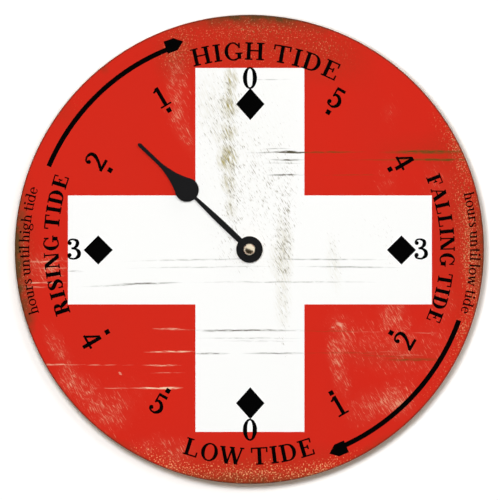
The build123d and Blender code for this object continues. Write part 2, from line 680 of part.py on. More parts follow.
with BuildPart() as hand_blade:
    with BuildSketch(level(blade_back).rotated((0, -HAND_ANGLE, 0))):
        with BuildLine():
            Line((0, 0), (STEM_WIDTH_AT_HUB / 2, 0))
            ThreePointArc(
                (STEM_WIDTH_AT_HUB / 2, 0),
                (STEM_WIDTH_MIDDLE / 2, bulb_foot / 2),
                (STEM_WIDTH_AT_BULB / 2, bulb_foot + 1),
            )
            Line((STEM_WIDTH_AT_BULB / 2, bulb_foot + 1), (0, bulb_foot + 1))
            Line((0, bulb_foot + 1), (0, 0))
        make_face()
        with BuildLine():
            Line((0, BULB_FROM_AXIS), taper_start)
            ThreePointArc(taper_start, taper_hollow, taper_end)
            Line(taper_end, (TIP_WIDTH / 2, HAND_LENGTH - TIP_WIDTH / 2))
            ThreePointArc(
                (TIP_WIDTH / 2, HAND_LENGTH - TIP_WIDTH / 2),
                beside((0, HAND_LENGTH - TIP_WIDTH / 2), TIP_WIDTH / 2, 45),
                (0, HAND_LENGTH),
            )
            Line((0, HAND_LENGTH), (0, BULB_FROM_AXIS))
        make_face()
        mirror(about=Plane.YZ)
        with Locations((0, BULB_FROM_AXIS)):
            Circle(bulb_radius)
        Circle(HUB_DIAMETER / 2)
        Circle(RIVET_DIAMETER / 2, mode=Mode.SUBTRACT)
    extrude(amount=HAND_THICKNESS)

# Hand collet: brass, pressed on the arbor and riveted into the blade.
with BuildPart() as hand_collet:
    with BuildSketch(level(collet_back)):
        Circle(COLLET_DIAMETER / 2)
    extrude(amount=COLLET_HEIGHT)
    with BuildSketch(level(blade_back)):
        Circle(RIVET_DIAMETER / 2)
    extrude(amount=HAND_THICKNESS)
    with BuildSketch(level(collet_back)):
        Circle(ARBOR_DIAMETER / 2)
    extrude(amount=COLLET_HEIGHT + HAND_THICKNESS, mode=Mode.SUBTRACT)

# Cap nut: polished brass, a low rim under a round dome.
dome_rise = CAP_HEIGHT - CAP_RIM_HEIGHT
dome_radius = ((CAP_DIAMETER / 2) ** 2 + dome_rise**2) / (2 * dome_rise)

with BuildPart() as cap_nut:
    with BuildSketch(level(blade_front)):
        Circle(CAP_DIAMETER / 2)
    extrude(amount=CAP_HEIGHT)
    with Locations((0, dome_radius - blade_front - CAP_HEIGHT, 0)):
        Sphere(dome_radius, mode=Mode.INTERSECT)
    with BuildSketch(level(blade_front)):
        Circle(CAP_SCREW_DIAMETER / 2)
    extrude(amount=CAP_SCREW_LENGTH, mode=Mode.SUBTRACT)

# Tide arbor: brass, from the tide wheel through the bush to the hand, with a screwed end for the cap
# nut and a blind hole at the back in which the centre arbor runs.
with BuildPart() as tide_arbor:
    with BuildSketch(level(tide_back)):
        Circle(ARBOR_DIAMETER / 2)
    extrude(amount=blade_front - tide_back)
    with BuildSketch(level(blade_front)):
        Circle(CAP_SCREW_DIAMETER / 2)
    extrude(amount=CAP_SCREW_LENGTH)
    with BuildSketch(level(tide_back)):
        Circle(STOUT_ARBOR_RADIUS + RUNNING_FIT)
    extrude(amount=wall_inside - tide_back, mode=Mode.SUBTRACT)

with BuildPart() as tide_wheel:
    with BuildSketch(level(tide_back)):
        Polygon(*tooth_points(TIDE_TEETH, MOTION_MODULE, tide_turn))
    extrude(amount=WHEEL_THICKNESS)
    with BuildSketch(level(tide_front)):
        Circle(WHEEL_HUB_RADIUS)
    extrude(amount=SPACER_HEIGHT)
    with BuildSketch(level(tide_back)):
        Circle(ARBOR_DIAMETER / 2)
    extrude(amount=WHEEL_THICKNESS + SPACER_HEIGHT, mode=Mode.SUBTRACT)

# Minute wheel: wheel and pinion in one moulding, on the stud of the front case.
with BuildPart() as minute_wheel:
    with BuildSketch(level(minute_back)):
        with Locations(minute_axis):
            Polygon(*tooth_points(MINUTE_TEETH, MOTION_MODULE, minute_turn))
    extrude(amount=WHEEL_THICKNESS)
    with BuildSketch(level(minute_back + WHEEL_THICKNESS)):
        with Locations(minute_axis):
            Polygon(*tooth_points(MINUTE_PINION_TEETH, MOTION_MODULE, minute_turn))
    extrude(amount=tide_front - minute_back - WHEEL_THICKNESS)
    with BuildSketch(level(minute_back)):
        with Locations(minute_axis):
            Circle(STOUT_ARBOR_RADIUS + RUNNING_FIT)
    extrude(amount=tide_front - minute_back, mode=Mode.SUBTRACT)

# Cannon pinion: runs on the centre arbor, held by friction.
with BuildPart() as cannon_pinion:
    with BuildSketch(level(minute_back)):
        Polygon(*tooth_points(CANNON_TEETH, MOTION_MODULE, 0))
        Circle(STOUT_ARBOR_RADIUS + RUNNING_FIT, mode=Mode.SUBTRACT)
    extrude(amount=WHEEL_THICKNESS + FREE_GAP)

# Setting pinion with its arbor, and the fluted knob pressed on its rear end.

with BuildPart() as setting_pinion:
    with BuildSketch(level(minute_back - FREE_GAP)):
        with Locations(setting_axis):
            Polygon(*tooth_points(SETTING_TEETH, MOTION_MODULE, setting_turn))
    extrude(amount=WHEEL_THICKNESS + 2 * FREE_GAP)
    with BuildSketch(level(KNOB_RECESS + KNOB_GRIP_DEPTH)):
        with Locations(setting_axis):
            Circle(STOUT_ARBOR_RADIUS)
    extrude(amount=boss_back - FREE_GAP - KNOB_RECESS - KNOB_GRIP_DEPTH)
    with BuildSketch(level(boss_back - FREE_GAP)):
        with Locations(setting_axis):
            Circle(PIVOT_RADIUS)
    extrude(amount=FREE_GAP + PIVOT_LENGTH)

with BuildPart() as setting_knob:
    with BuildSketch(level(KNOB_RECESS)):
        with Locations(setting_axis):
            Circle(KNOB_DIAMETER / 2)
            with PolarLocations(KNOB_DIAMETER / 2, KNOB_FLUTES):
                Circle(KNOB_FLUTE_RADIUS, mode=Mode.SUBTRACT)
    extrude(amount=KNOB_THICKNESS)
    with BuildSketch(level(KNOB_RECESS)):
        with Locations(setting_axis):
            Circle(KNOB_GRIP_DIAMETER / 2)
            Rectangle(KNOB_GRIP_DIAMETER, STOUT_ARBOR_RADIUS, mode=Mode.SUBTRACT)
    extrude(amount=KNOB_GRIP_DEPTH, mode=Mode.SUBTRACT)
    with BuildSketch(level(KNOB_RECESS + KNOB_GRIP_DEPTH)):
        with Locations(setting_axis):
            Circle(STOUT_ARBOR_RADIUS)
    extrude(amount=KNOB_THICKNESS - KNOB_GRIP_DEPTH, mode=Mode.SUBTRACT)

# Going train, from the centre back to the rotor. Each arbor has a pivot in the train plate and one in a boss.
shoulder_back = plate_front + FREE_GAP
shoulder_front = boss_back - FREE_GAP

with BuildPart() as centre_wheel:
    with BuildSketch(level(centre_back)):
        Polygon(*tooth_points(CENTRE_TEETH, GOING_MODULE, 0))
    extrude(amount=WHEEL_THICKNESS)
    with BuildSketch(level(centre_back + WHEEL_THICKNESS)):
        Circle(COLLAR_RADIUS)
    extrude(amount=COLLAR_HEIGHT)
    with BuildSketch(level(shoulder_back)):
        Circle(STOUT_ARBOR_RADIUS)
    extrude(amount=wall_inside - FREE_GAP - shoulder_back)
    with BuildSketch(level(plate_back)):
        Circle(PIVOT_RADIUS)
    extrude(amount=shoulder_back - plate_back)

with BuildPart() as third_wheel:
    with BuildSketch(level(third_back)):
        with Locations(third_axis):
            Polygon(*tooth_points(THIRD_TEETH, GOING_MODULE, third_turn))
    extrude(amount=WHEEL_THICKNESS)
    with BuildSketch(level(third_back + WHEEL_THICKNESS)):
        with Locations(third_axis):
            Polygon(*tooth_points(THIRD_PINION_TEETH, GOING_MODULE, third_turn))
    extrude(amount=layer_pitch)
    with BuildSketch(level(shoulder_back)):
        with Locations(third_axis):
            Circle(THIN_ARBOR_RADIUS)
    extrude(amount=shoulder_front - shoulder_back)
    with BuildSketch(level(plate_back)):
        with Locations(third_axis):
            Circle(PIVOT_RADIUS)
    extrude(amount=boss_back + PIVOT_LENGTH - plate_back)

with BuildPart() as second_wheel:
    with BuildSketch(level(second_back)):
        with Locations(second_axis):
            Polygon(*tooth_points(SECOND_TEETH, GOING_MODULE, second_turn))
    extrude(amount=WHEEL_THICKNESS)
    with BuildSketch(level(second_back + WHEEL_THICKNESS)):
        with Locations(second_axis):
            Polygon(*tooth_points(SECOND_PINION_TEETH, GOING_MODULE, second_turn))
    extrude(amount=layer_pitch)
    with BuildSketch(level(shoulder_back)):
        with Locations(second_axis):
            Circle(THIN_ARBOR_RADIUS)
    extrude(amount=shoulder_front - shoulder_back)
    with BuildSketch(level(plate_back)):
        with Locations(second_axis):
            Circle(PIVOT_RADIUS)
    extrude(amount=boss_back + PIVOT_LENGTH - plate_back)

with BuildPart() as intermediate_wheel:
    with BuildSketch(level(intermediate_back)):
        with Locations(intermediate_axis):
            Polygon(*tooth_points(INTERMEDIATE_TEETH, GOING_MODULE, intermediate_turn))
    extrude(amount=WHEEL_THICKNESS)
    with BuildSketch(level(intermediate_back + WHEEL_THICKNESS)):
        with Locations(intermediate_axis):
            Polygon(*tooth_points(INTERMEDIATE_PINION_TEETH, GOING_MODULE, intermediate_turn))
    extrude(amount=layer_pitch)
    with BuildSketch(level(shoulder_back)):
        with Locations(intermediate_axis):
            Circle(THIN_ARBOR_RADIUS)
    extrude(amount=shoulder_front - shoulder_back)
    with BuildSketch(level(plate_back)):
        with Locations(intermediate_axis):
            Circle(PIVOT_RADIUS)
    extrude(amount=boss_back + PIVOT_LENGTH - plate_back)

# Rotor: a pinion on its arbor and a round magnet that turns in the stator's window.
magnet_back = (stator_back + stator_front - MAGNET_LENGTH) / 2

with BuildPart() as rotor_pinion:
    with BuildSketch(level(intermediate_back)):
        with Locations(rotor_axis):
            Polygon(*tooth_points(ROTOR_TEETH, GOING_MODULE, rotor_turn))
    extrude(amount=layer_pitch)
    with BuildSketch(level(shoulder_back)):
        with Locations(rotor_axis):
            Circle(THIN_ARBOR_RADIUS)
    extrude(amount=shoulder_front - shoulder_back)
    with BuildSketch(level(plate_back)):
        with Locations(rotor_axis):
            Circle(PIVOT_RADIUS)
    extrude(amount=boss_back + PIVOT_LENGTH - plate_back)

with BuildPart() as rotor_magnet:
    with BuildSketch(level(magnet_back)):
        with Locations(rotor_axis):
            Circle(MAGNET_RADIUS)
            Circle(THIN_ARBOR_RADIUS, mode=Mode.SUBTRACT)
    extrude(amount=MAGNET_LENGTH)

pieces = {
    "dial_disc": dial_disc,
    "front_case": front_case,
    "rear_cover": rear_cover,
    "threaded_bush": threaded_bush,
    "rubber_gasket": rubber_gasket,
    "dial_washer": dial_washer,
    "hex_nut": hex_nut,
    "hanger_plate": hanger_plate,
    "train_plate": train_plate,
    "stator_plate": stator_plate,
    "coil_core": coil_core,
    "coil_bobbin": coil_bobbin,
    "coil_winding": coil_winding,
    "circuit_board": circuit_board,
    "chip_cap": chip_cap,
    "quartz_crystal": quartz_crystal,
    "battery_cell": battery_cell,
    "battery_sleeve": battery_sleeve,
    "positive_contact": positive_contact,
    "negative_contact": negative_contact,
    "hand_blade": hand_blade,
    "hand_collet": hand_collet,
    "cap_nut": cap_nut,
    "tide_arbor": tide_arbor,
    "tide_wheel": tide_wheel,
    "minute_wheel": minute_wheel,
    "cannon_pinion": cannon_pinion,
    "setting_pinion": setting_pinion,
    "setting_knob": setting_knob,
    "centre_wheel": centre_wheel,
    "third_wheel": third_wheel,
    "second_wheel": second_wheel,
    "intermediate_wheel": intermediate_wheel,
    "rotor_pinion": rotor_pinion,
    "rotor_magnet": rotor_magnet,
}

for name, piece in pieces.items():
    piece.part.label = name
    export_step(piece.part, f"parts/{name}.step")
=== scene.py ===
"""Tide clock: the looks of a round printed board with one spade hand, and of the movement behind it."""

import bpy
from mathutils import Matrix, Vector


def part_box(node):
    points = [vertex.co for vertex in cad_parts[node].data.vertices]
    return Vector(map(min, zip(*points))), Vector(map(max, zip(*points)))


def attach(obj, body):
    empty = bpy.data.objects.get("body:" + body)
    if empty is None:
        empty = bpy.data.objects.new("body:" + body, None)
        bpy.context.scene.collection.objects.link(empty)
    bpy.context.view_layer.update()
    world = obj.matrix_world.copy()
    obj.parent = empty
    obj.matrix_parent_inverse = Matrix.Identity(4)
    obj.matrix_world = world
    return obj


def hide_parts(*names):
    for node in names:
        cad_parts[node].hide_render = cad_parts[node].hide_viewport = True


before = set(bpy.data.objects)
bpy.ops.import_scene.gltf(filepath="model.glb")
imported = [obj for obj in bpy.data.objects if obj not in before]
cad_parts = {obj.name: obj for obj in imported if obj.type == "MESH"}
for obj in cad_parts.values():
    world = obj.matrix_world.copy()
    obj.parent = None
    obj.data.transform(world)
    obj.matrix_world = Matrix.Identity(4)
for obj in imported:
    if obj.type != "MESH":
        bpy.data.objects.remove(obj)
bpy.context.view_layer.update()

from math import cos, degrees, hypot, pi, radians, sin

import bmesh
import bpy
from mathutils import Vector
from mathutils.geometry import delaunay_2d_cdt


# Movement case: the front shell and the snap-on rear cover, injection moulded in black ABS.
# The shell carries the train, the motor and the battery, and four hooks of the cover hold in it.

MM = 0.001


def linear(colour):
    """Linear RGBA of an sRGB hex colour."""
    parts = [int(colour[i:i + 2], 16) / 255 for i in (1, 3, 5)]
    return [p / 12.92 if p <= 0.04045 else ((p + 0.055) / 1.055) ** 2.4 for p in parts] + [1.0]


def add(tree, kind, inputs=(), **settings):
    """Adds a node. Its inputs go by name or in turn: a value, a hex colour, an output or a node."""
    node = tree.nodes.new("ShaderNode" + kind)
    for name, value in settings.items():
        setattr(node, name, value)
    if not isinstance(inputs, dict):
        inputs = dict(zip([i for i, socket in enumerate(node.inputs) if socket.enabled], inputs))
    for name, value in inputs.items():
        if isinstance(value, bpy.types.Node):
            value = next(socket for socket in value.outputs if socket.enabled)
        if isinstance(value, bpy.types.NodeSocket):
            tree.links.new(value, node.inputs[name])
        else:
            node.inputs[name].default_value = linear(value) if isinstance(value, str) else value
    return node


def start_material(name):
    """New empty material: its node tree, and the place on the piece in millimetres."""
    material = bpy.data.materials.new(name)
    material.use_nodes = True
    tree = material.node_tree
    tree.nodes.clear()
    metres = add(tree, "TexCoord").outputs["Object"]
    place = add(tree, "VectorMath", (metres, 1 / MM), operation="SCALE")
    return material, tree, place


def end_material(tree, sockets, relief=None, strength=0.0, depth=0.0):
    """Closes a material with one shader that has these sockets, and a relief of this depth in mm."""
    if relief:
        bump = add(tree, "Bump", {"Height": relief, "Strength": strength, "Distance": depth * MM})
        sockets["Normal"] = bump
    shader = add(tree, "BsdfPrincipled", sockets)
    add(tree, "OutputMaterial", {"Surface": shader})


def dress(material, *nodes):
    """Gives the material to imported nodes."""
    for name in nodes:
        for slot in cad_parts[name].material_slots:
            slot.material = material


def grained(name, colour, shade, roughness, grain, relief, ior, specular=0.5):
    """Even stuff in two close tones that lie as it flowed, with a grain of this width and depth in mm."""
    flow_width = 9.0
    gloss_spread = 0.1
    material, tree, place = start_material(name)
    flow = add(tree, "TexNoise", {
        "Vector": place, "Scale": 1 / flow_width, "Detail": 3.0, "Distortion": 0.6,
    })
    tone = add(tree, "Mix", (flow, colour, shade), data_type="RGBA")
    pits = add(tree, "TexNoise", (place, 1 / grain, 2.0))
    gloss = add(tree, "MapRange", (pits, 0.0, 1.0, roughness - gloss_spread, roughness + gloss_spread))
    sockets = {"Base Color": tone, "Roughness": gloss, "IOR": ior, "Specular IOR Level": specular}
    end_material(tree, sockets, pits, 0.5, relief)
    return material


# Black ABS reads as a deep neutral grey with a dull sheen. Its real grain of about 0.1 mm is too fine
# to show, so it is drawn at 0.35 mm.
case_abs = grained("moulded_black_abs", "#1B1B1D", "#232325", 0.52, 0.35, 0.03, 1.54)
dress(case_abs, "front_case", "rear_cover")


# Train plate, wheels and pinions: moulded in natural and tinted acetal, with pins for arbors.
# The plate pushes onto the pins of the shell and closes the train; the wheels run free in it.

# Acetal reads as a milky, slightly waxy white, with a smooth moulded skin and a low gloss.
natural_acetal = grained("moulded_natural_acetal", "#EDEBE2", "#E2DFD3", 0.38, 0.6, 0.008, 1.48)
dress(natural_acetal, "tide_wheel", "minute_wheel", "cannon_pinion", "centre_wheel", "third_wheel",
      "second_wheel", "intermediate_wheel", "rotor_pinion")

# The plate and the setting pinion are the same resin with a grey tint.
grey_acetal = grained("moulded_grey_acetal", "#8C9094", "#82868A", 0.42, 0.6, 0.008, 1.48)
dress(grey_acetal, "train_plate", "setting_pinion")


# Setting knob: a serrated acetal wheel that is pressed on the end of the setting pinion.
# It lies in a round opening of the rear cover and is turned with a fingertip to set the tide.

# Tinted acetal, a warm red-brown with the same waxy gloss.
knob_acetal = grained("moulded_red_acetal", "#A63A2B", "#963325", 0.4, 0.5, 0.01, 1.48)
dress(knob_acetal, "setting_knob")


# Stepping motor: stator and core blanked from soft iron strip, a sintered magnet on the rotor,
# and a coil of enamelled copper wire on a moulded bobbin that the core passes through.

def end_metal(tree, place, marks, tones, gloss, cloud_width, faint, strength, depth):
    """Closes a metal: its tones follow its marks and wide clouds, its gloss and relief the marks alone."""
    clouds = add(tree, "TexNoise", (place, 1 / cloud_width, 4.0))
    mottle = add(tree, "Math", (marks, clouds), operation="MULTIPLY")
    spread = add(tree, "MapRange", (mottle, faint, 0.42))
    tone = add(tree, "Mix", (spread, *tones), data_type="RGBA")
    sheen = add(tree, "MapRange", (marks, 0.0, 1.0, *gloss))
    end_material(tree, {"Base Color": tone, "Metallic": 1.0, "Roughness": sheen}, marks, strength, depth)


def rolled(name, colour, shade, roughness, line, run):
    """Rolled metal, with fine lines of this width and run in mm."""
    cloud_width = 6.0
    line_depth = 0.01
    material, tree, place = start_material(name)
    lie = add(tree, "Mapping", {"Vector": place, "Scale": (1 / line, 1 / line, 1 / run)})
    lines = add(tree, "TexNoise", (lie, 1.0, 3.0))
    gloss = (roughness - 0.08, roughness + 0.1)
    end_metal(tree, place, lines, (colour, shade), gloss, cloud_width, 0.12, 0.25, line_depth)
    return material


def new_object(name, data):
    """Object in the scene that shows this data."""
    shown = bpy.data.objects.new(name, data)
    bpy.context.scene.collection.objects.link(shown)
    return shown


def piece_from(mesh, name, material, body):
    """Turns a finished mesh into a piece that rides on a body and takes its finish from a slot."""
    bmesh.ops.recalc_face_normals(mesh, faces=mesh.faces)
    data = bpy.data.meshes.new(name)
    mesh.to_mesh(data)
    mesh.free()
    data.materials.append(material)
    piece = new_object(name, data)
    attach(piece, body)
    return piece


# Soft iron strip reads as a dull blue-grey with faint rolling lines; they are drawn 0.2 mm apart.
soft_iron = rolled("rolled_soft_iron", "#8E9196", "#74777C", 0.45, 0.2, 6.0)
dress(soft_iron, "stator_plate", "coil_core")

# Ferrite sintered from powder: a dark grey, dead matt, with a fine grain.
ferrite = grained("sintered_ferrite", "#3A3A3C", "#2E2E30", 0.7, 0.25, 0.02, 1.9)
dress(ferrite, "rotor_magnet")

# Nylon of the bobbin: an opaque cream white, a little glossier than the acetal.
bobbin_nylon = grained("moulded_cream_nylon", "#E6DEC3", "#DCD2B2", 0.35, 0.6, 0.008, 1.53)
dress(bobbin_nylon, "coil_bobbin")

# Winding: turns of wire laid close round the square core, with the corners rounded by the pull.
# The real wire of 0.05 mm is too fine to show, so the turns are drawn 0.4 mm apart.
WIRE = 0.4
WINDING_SIDES = 40
# The power of the oval that the turns follow: 2 is round, and more is squarer.
SQUARENESS = 4.0
RINGS_PER_TURN = 6
low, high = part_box("coil_winding")
middle = (low + high) / 2
half = (high - low) / 2
rings = int((high.z - low.z) / (WIRE * MM)) * RINGS_PER_TURN
mesh = bmesh.new()
loops = []
for ring in range(rings + 1):
    z = low.z + (high.z - low.z) * ring / rings
    inset = WIRE / 4 * MM * (1 - abs(sin(pi * ring / RINGS_PER_TURN)))
    loop = []
    for side in range(WINDING_SIDES):
        turn = 2 * pi * side / WINDING_SIDES
        reach = (abs(cos(turn)) ** SQUARENESS + abs(sin(turn)) ** SQUARENESS) ** (-1 / SQUARENESS)
        x = middle.x + (half.x - inset) * reach * cos(turn)
        y = middle.y + (half.y - inset) * reach * sin(turn)
        loop.append(mesh.verts.new((x, y, z)))
    loops.append(loop)
for below, above in zip(loops, loops[1:]):
    for side in range(WINDING_SIDES):
        after = (side + 1) % WINDING_SIDES
        face = mesh.faces.new((below[side], below[after], above[after], above[side]))
        face.smooth = True
mesh.faces.new(reversed(loops[0]))
mesh.faces.new(loops[-1])

# Enamelled copper: a warm orange metal under a clear coat, with a tone that changes from turn to turn.
SHEEN_PER_MM = 0.3
enamelled_copper, tree, place = start_material("enamelled_copper_wire")
lie = add(tree, "Mapping", {"Vector": place, "Scale": (SHEEN_PER_MM, SHEEN_PER_MM, 1 / WIRE)})
turns = add(tree, "TexNoise", (lie, 1.0, 2.0))
tone = add(tree, "Mix", (turns, "#B8653A", "#8F4522"), data_type="RGBA")
gloss = add(tree, "MapRange", (turns, 0.0, 1.0, 0.25, 0.4))
end_material(tree, {
    "Base Color": tone, "Metallic": 0.8, "Roughness": gloss, "Coat Weight": 0.6, "Coat Roughness": 0.15,
})
winding = piece_from(mesh, "wound_coil", enamelled_copper, "clock")
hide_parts("coil_winding")


# Circuit board: glass laminate on two posts of the shell, with the chip under a drop of epoxy
# and the quartz crystal in its plated can.

# Green solder mask over laminate, where the glass weave shows faintly; its threads are drawn 0.5 mm wide.
# One band of the wave pattern is a twentieth of pi wide at a scale of 1.
THREAD = 0.491
WEAVE_DEPTH = 0.01
laminate, tree, place = start_material("masked_glass_laminate")
threads = []
for way in ("X", "Z"):
    bands = {"Vector": place, "Scale": pi / 20 / THREAD, "Distortion": 0.2}
    threads.append(add(tree, "TexWave", bands, bands_direction=way).outputs["Fac"])
weave = add(tree, "Math", threads, operation="MULTIPLY")
tone = add(tree, "Mix", (weave, "#1F5B3A", "#2B6E48"), data_type="RGBA")
end_material(tree, {"Base Color": tone, "Roughness": 0.35, "IOR": 1.55}, weave, 0.2, WEAVE_DEPTH)
dress(laminate, "circuit_board")

# Cured epoxy drop: black, smooth and glossy, with slight waves.
epoxy = grained("cured_black_epoxy", "#141416", "#1A1A1C", 0.22, 1.2, 0.02, 1.55)
dress(epoxy, "chip_cap")

# Nickel plate on the crystal's can: a warm bright grey with faint drawing lines.
nickel_plate = rolled("drawn_nickel_plate", "#BDB9B0", "#A8A49A", 0.25, 0.15, 3.0)
dress(nickel_plate, "quartz_crystal")


# Battery and its contacts: a steel AA cell in a printed sleeve, lying in the open bay of the shell.
# Two plated spring contacts hold it at its ends, and it lifts out towards the back.

# Plated steel of the cell's can and the contacts: bright, with fine drawing lines.
plated_steel = rolled("plated_cell_can", "#C6C7C9", "#B2B3B6", 0.28, 0.2, 5.0)
dress(plated_steel, "battery_cell", "positive_contact", "negative_contact")

# Shrink sleeve: a glossy film in plain blue-grey, with the slight ripples that shrinking leaves.
# A paler band at the nub end shows the way round.
BAND_FROM_END = 9.0
BAND_WIDTH = 3.0
RIPPLE_WIDTH = 4.0
RIPPLE_DEPTH = 0.03
sleeve_film, tree, place = start_material("printed_sleeve_film")
along_cell = add(tree, "SeparateXYZ", (place,)).outputs["X"]
band_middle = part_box("battery_sleeve")[1].x / MM - BAND_FROM_END
on_band = add(tree, "Math", (along_cell, band_middle, BAND_WIDTH / 2), operation="COMPARE")
ripple = add(tree, "TexNoise", (place, 1 / RIPPLE_WIDTH, 2.0))
film = add(tree, "Mix", (ripple, "#35506B", "#2E4760"), data_type="RGBA")
tone = add(tree, "Mix", (on_band, film, "#C9D3DA"), data_type="RGBA")
end_material(tree, {"Base Color": tone, "Roughness": 0.25, "IOR": 1.53}, ripple, 0.2, RIPPLE_DEPTH)
dress(sleeve_film, "battery_sleeve")


# Hanger: a strip of steel with a keyhole, bent and zinc plated, clamped between the case and the gasket.
# It carries the whole clock on one screw in the wall.

# Zinc plate: a pale blue-grey with cloudy spangle, brushed along the strip; lines drawn 0.25 mm apart.
zinc_plate = rolled("zinc_plated_steel", "#B4B9BE", "#9399A0", 0.38, 0.25, 9.0)
dress(zinc_plate, "hanger_plate")


# Gasket: a ring stamped from sheet rubber, pressed between the hanger and the board.
# It keeps the board from turning on the bush.

# Black rubber: a warm near-black, dull, with the fine cloth mark of the sheet.
sheet_rubber = grained("stamped_black_rubber", "#1E1D1B", "#272523", 0.75, 0.5, 0.03, 1.52)
dress(sheet_rubber, "rubber_gasket")


# Dial board: fibreboard of a quarter inch, sawn round, with eased edges and a printed and varnished front.
# The print is a white cross on red that is made to look old, with stains, cracks and scratches.

FRONT = -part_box("dial_disc")[0].y / MM
BACK = -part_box("dial_disc")[1].y / MM
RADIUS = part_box("dial_disc")[1].x / MM
ARM_HALF_WIDTH = 30.95
ARM_REACH = 103.4
CROSS_MIDDLE = (0.28, 0, -0.29)
# How far the print goes down the eased edge, and how thin the bare skin of the back is.
PRINT_DEPTH = 0.75
BACK_SKIN = 0.05
# A length so great that a pattern doesn't change along it.
FAR = 1e6

# Soft ovals of wear, in mm and degrees: x and z of the middle, half length, half width, tilt to the
# right, and strength.
# Dark brown stain that has crept in from the rim.
rim_stains = (
    (8, 134.5, 62, 17, 0, 1.45), (-134, -4, 20, 52, 0, 1.5), (-128, -40, 10, 26, 14, 0.8),
    (134.5, 0, 13, 62, 0, 1.0), (0, -134, 66, 16, 0, 1.0), (-84, 104, 4, 10, -36, 0.5),
    (-70, -114, 26, 7, 31, 0.5), (70, -114, 26, 7, -31, 0.4),
)
# Brown haze over the print, wide and weak.
hazes = (
    (6, 120, 78, 32, 0, 0.26), (48, 108, 30, 18, 25, 0.12), (122, 14, 26, 84, -3, 0.23),
    (0, -126, 86, 20, 0, 0.26), (-130, -2, 14, 54, 0, 0.2), (98, 56, 34, 12, 0, 0.12),
    (-106, 78, 10, 14, -36, 0.12), (-42, 110, 13, 22, 12, 0.22), (82, -60, 36, 9, 0, 0.12),
)
# Grains near the rim where the print has come off.
flecks = (
    (0, 126, 60, 10, 0, 0.55), (-42, 113, 14, 20, 10, 0.62), (44, 116, 24, 14, 22, 0.3),
    (116, 62, 9, 34, -27, 0.7), (124, 16, 12, 54, -6, 0.82), (0, -128, 72, 9, 0, 0.5),
    (6, 112, 62, 16, 0, 0.4), (-46, -120, 26, 11, 20, 0.3), (44, -123, 26, 9, -20, 0.3),
    (122, -44, 8, 34, 18, 0.75), (125, -14, 8, 26, 0, 0.5), (106, -78, 8, 26, 36, 0.35),
    (-128, -10, 8, 40, 0, 0.55), (-100, 86, 6, 16, -40, 0.3),
)
# Larger chips along the foot.
chips = (
    (0, -127, 78, 10, 0, 0.72), (-50, -121, 28, 11, 22, 0.55), (46, -123, 28, 10, -22, 0.5),
)
# Scuffs across the red, made of many fine scratches that lean to the left.
scuffs = (
    (-41, 98, 10, 26, -14, 0.9), (-41, 76, 8, 24, -16, 0.85), (-34, 62, 6, 22, -20, 0.45),
    (-106, -62, 8, 20, -24, 0.7), (-93, -78, 10, 17, -34, 0.7), (-78, -92, 15, 14, -36, 0.6),
    (-58, -112, 20, 8, -30, 0.6), (52, -47, 8, 18, -16, 0.6), (49.5, -62, 6.5, 14, -20, 0.95),
    (52, -75, 7, 13, -20, 0.9), (68, -90, 20, 14, -30, 0.95), (85, -86, 14, 14, -30, 1.2),
    (82, -36, 11, 14, -34, 1.0), (66, -52, 34, 26, 0, 0.6), (90, -60, 24, 26, 0, 0.55),
    (108, -50, 12, 34, 0, 0.45), (80, 78, 9, 14, 0, 0.4), (78, 36, 12, 26, 0, 0.4),
    (107, 38, 16, 18, 0, 0.5), (-70, -84, 30, 22, -30, 0.34), (111, -28, 15, 14, 0, 0.45),
    (-42, -116, 16, 12, -30, 0.85), (-104, -75, 8, 9, -30, 0.6), (-90, -90, 42, 12, 45, 0.4),
    (-112, -50, 8, 16, -24, 0.5), (-115, -10, 15, 14, 0, 1.1),
)
# Olive tint down the white, where damp has come through.
tints = (
    (-10.5, 96, 5, 9, 0, 0.85), (-11.6, 82, 6.5, 10, 0, 0.85), (-11, 67, 5.5, 7, 0, 0.65),
    (-16, 66, 7, 8, 0, 0.35), (-12.6, 52, 7, 9.5, 0, 1.15), (-11.8, 38, 5.5, 7.5, 0, 0.75),
    (-10.4, 24, 4.5, 9, 0, 0.4), (20, 8, 6, 16, -8, 0.3), (18, -8, 8, 15, -8, 0.4),
    (19, -30, 6, 18, 0, 0.25), (48, -8, 5, 20, -8, 0.15), (-24, 84, 12, 22, 0, 0.16),
    (-4, 60, 40, 60, 0, 0.06),
)
# Dark specks over the white, close together where the tint is strong.
specks = (
    (-11, 88, 7, 24, 0, 0.7), (-11.6, 50, 8, 26, 0, 0.56), (-10, 26, 8, 24, 0, 0.75),
    (-19, 76, 20, 44, 0, 0.66), (2, 52, 40, 60, 0, 0.56), (12, 24, 30, 46, 0, 0.5),
    (21, 26, 7, 30, 0, 0.55), (19.5, 0, 8, 22, -8, 1.1), (19, -24, 7, 26, -4, 0.85),
    (19, -52, 6, 26, 0, 0.5), (0, -8, 26, 16, 0, 0.4), (48, -3, 8, 28, -8, 0.7),
    (66, 12, 16, 20, 0, 0.3), (80, 2, 8, 26, 0, 0.5), (-14, 4, 16, 20, -12, 0.5),
)
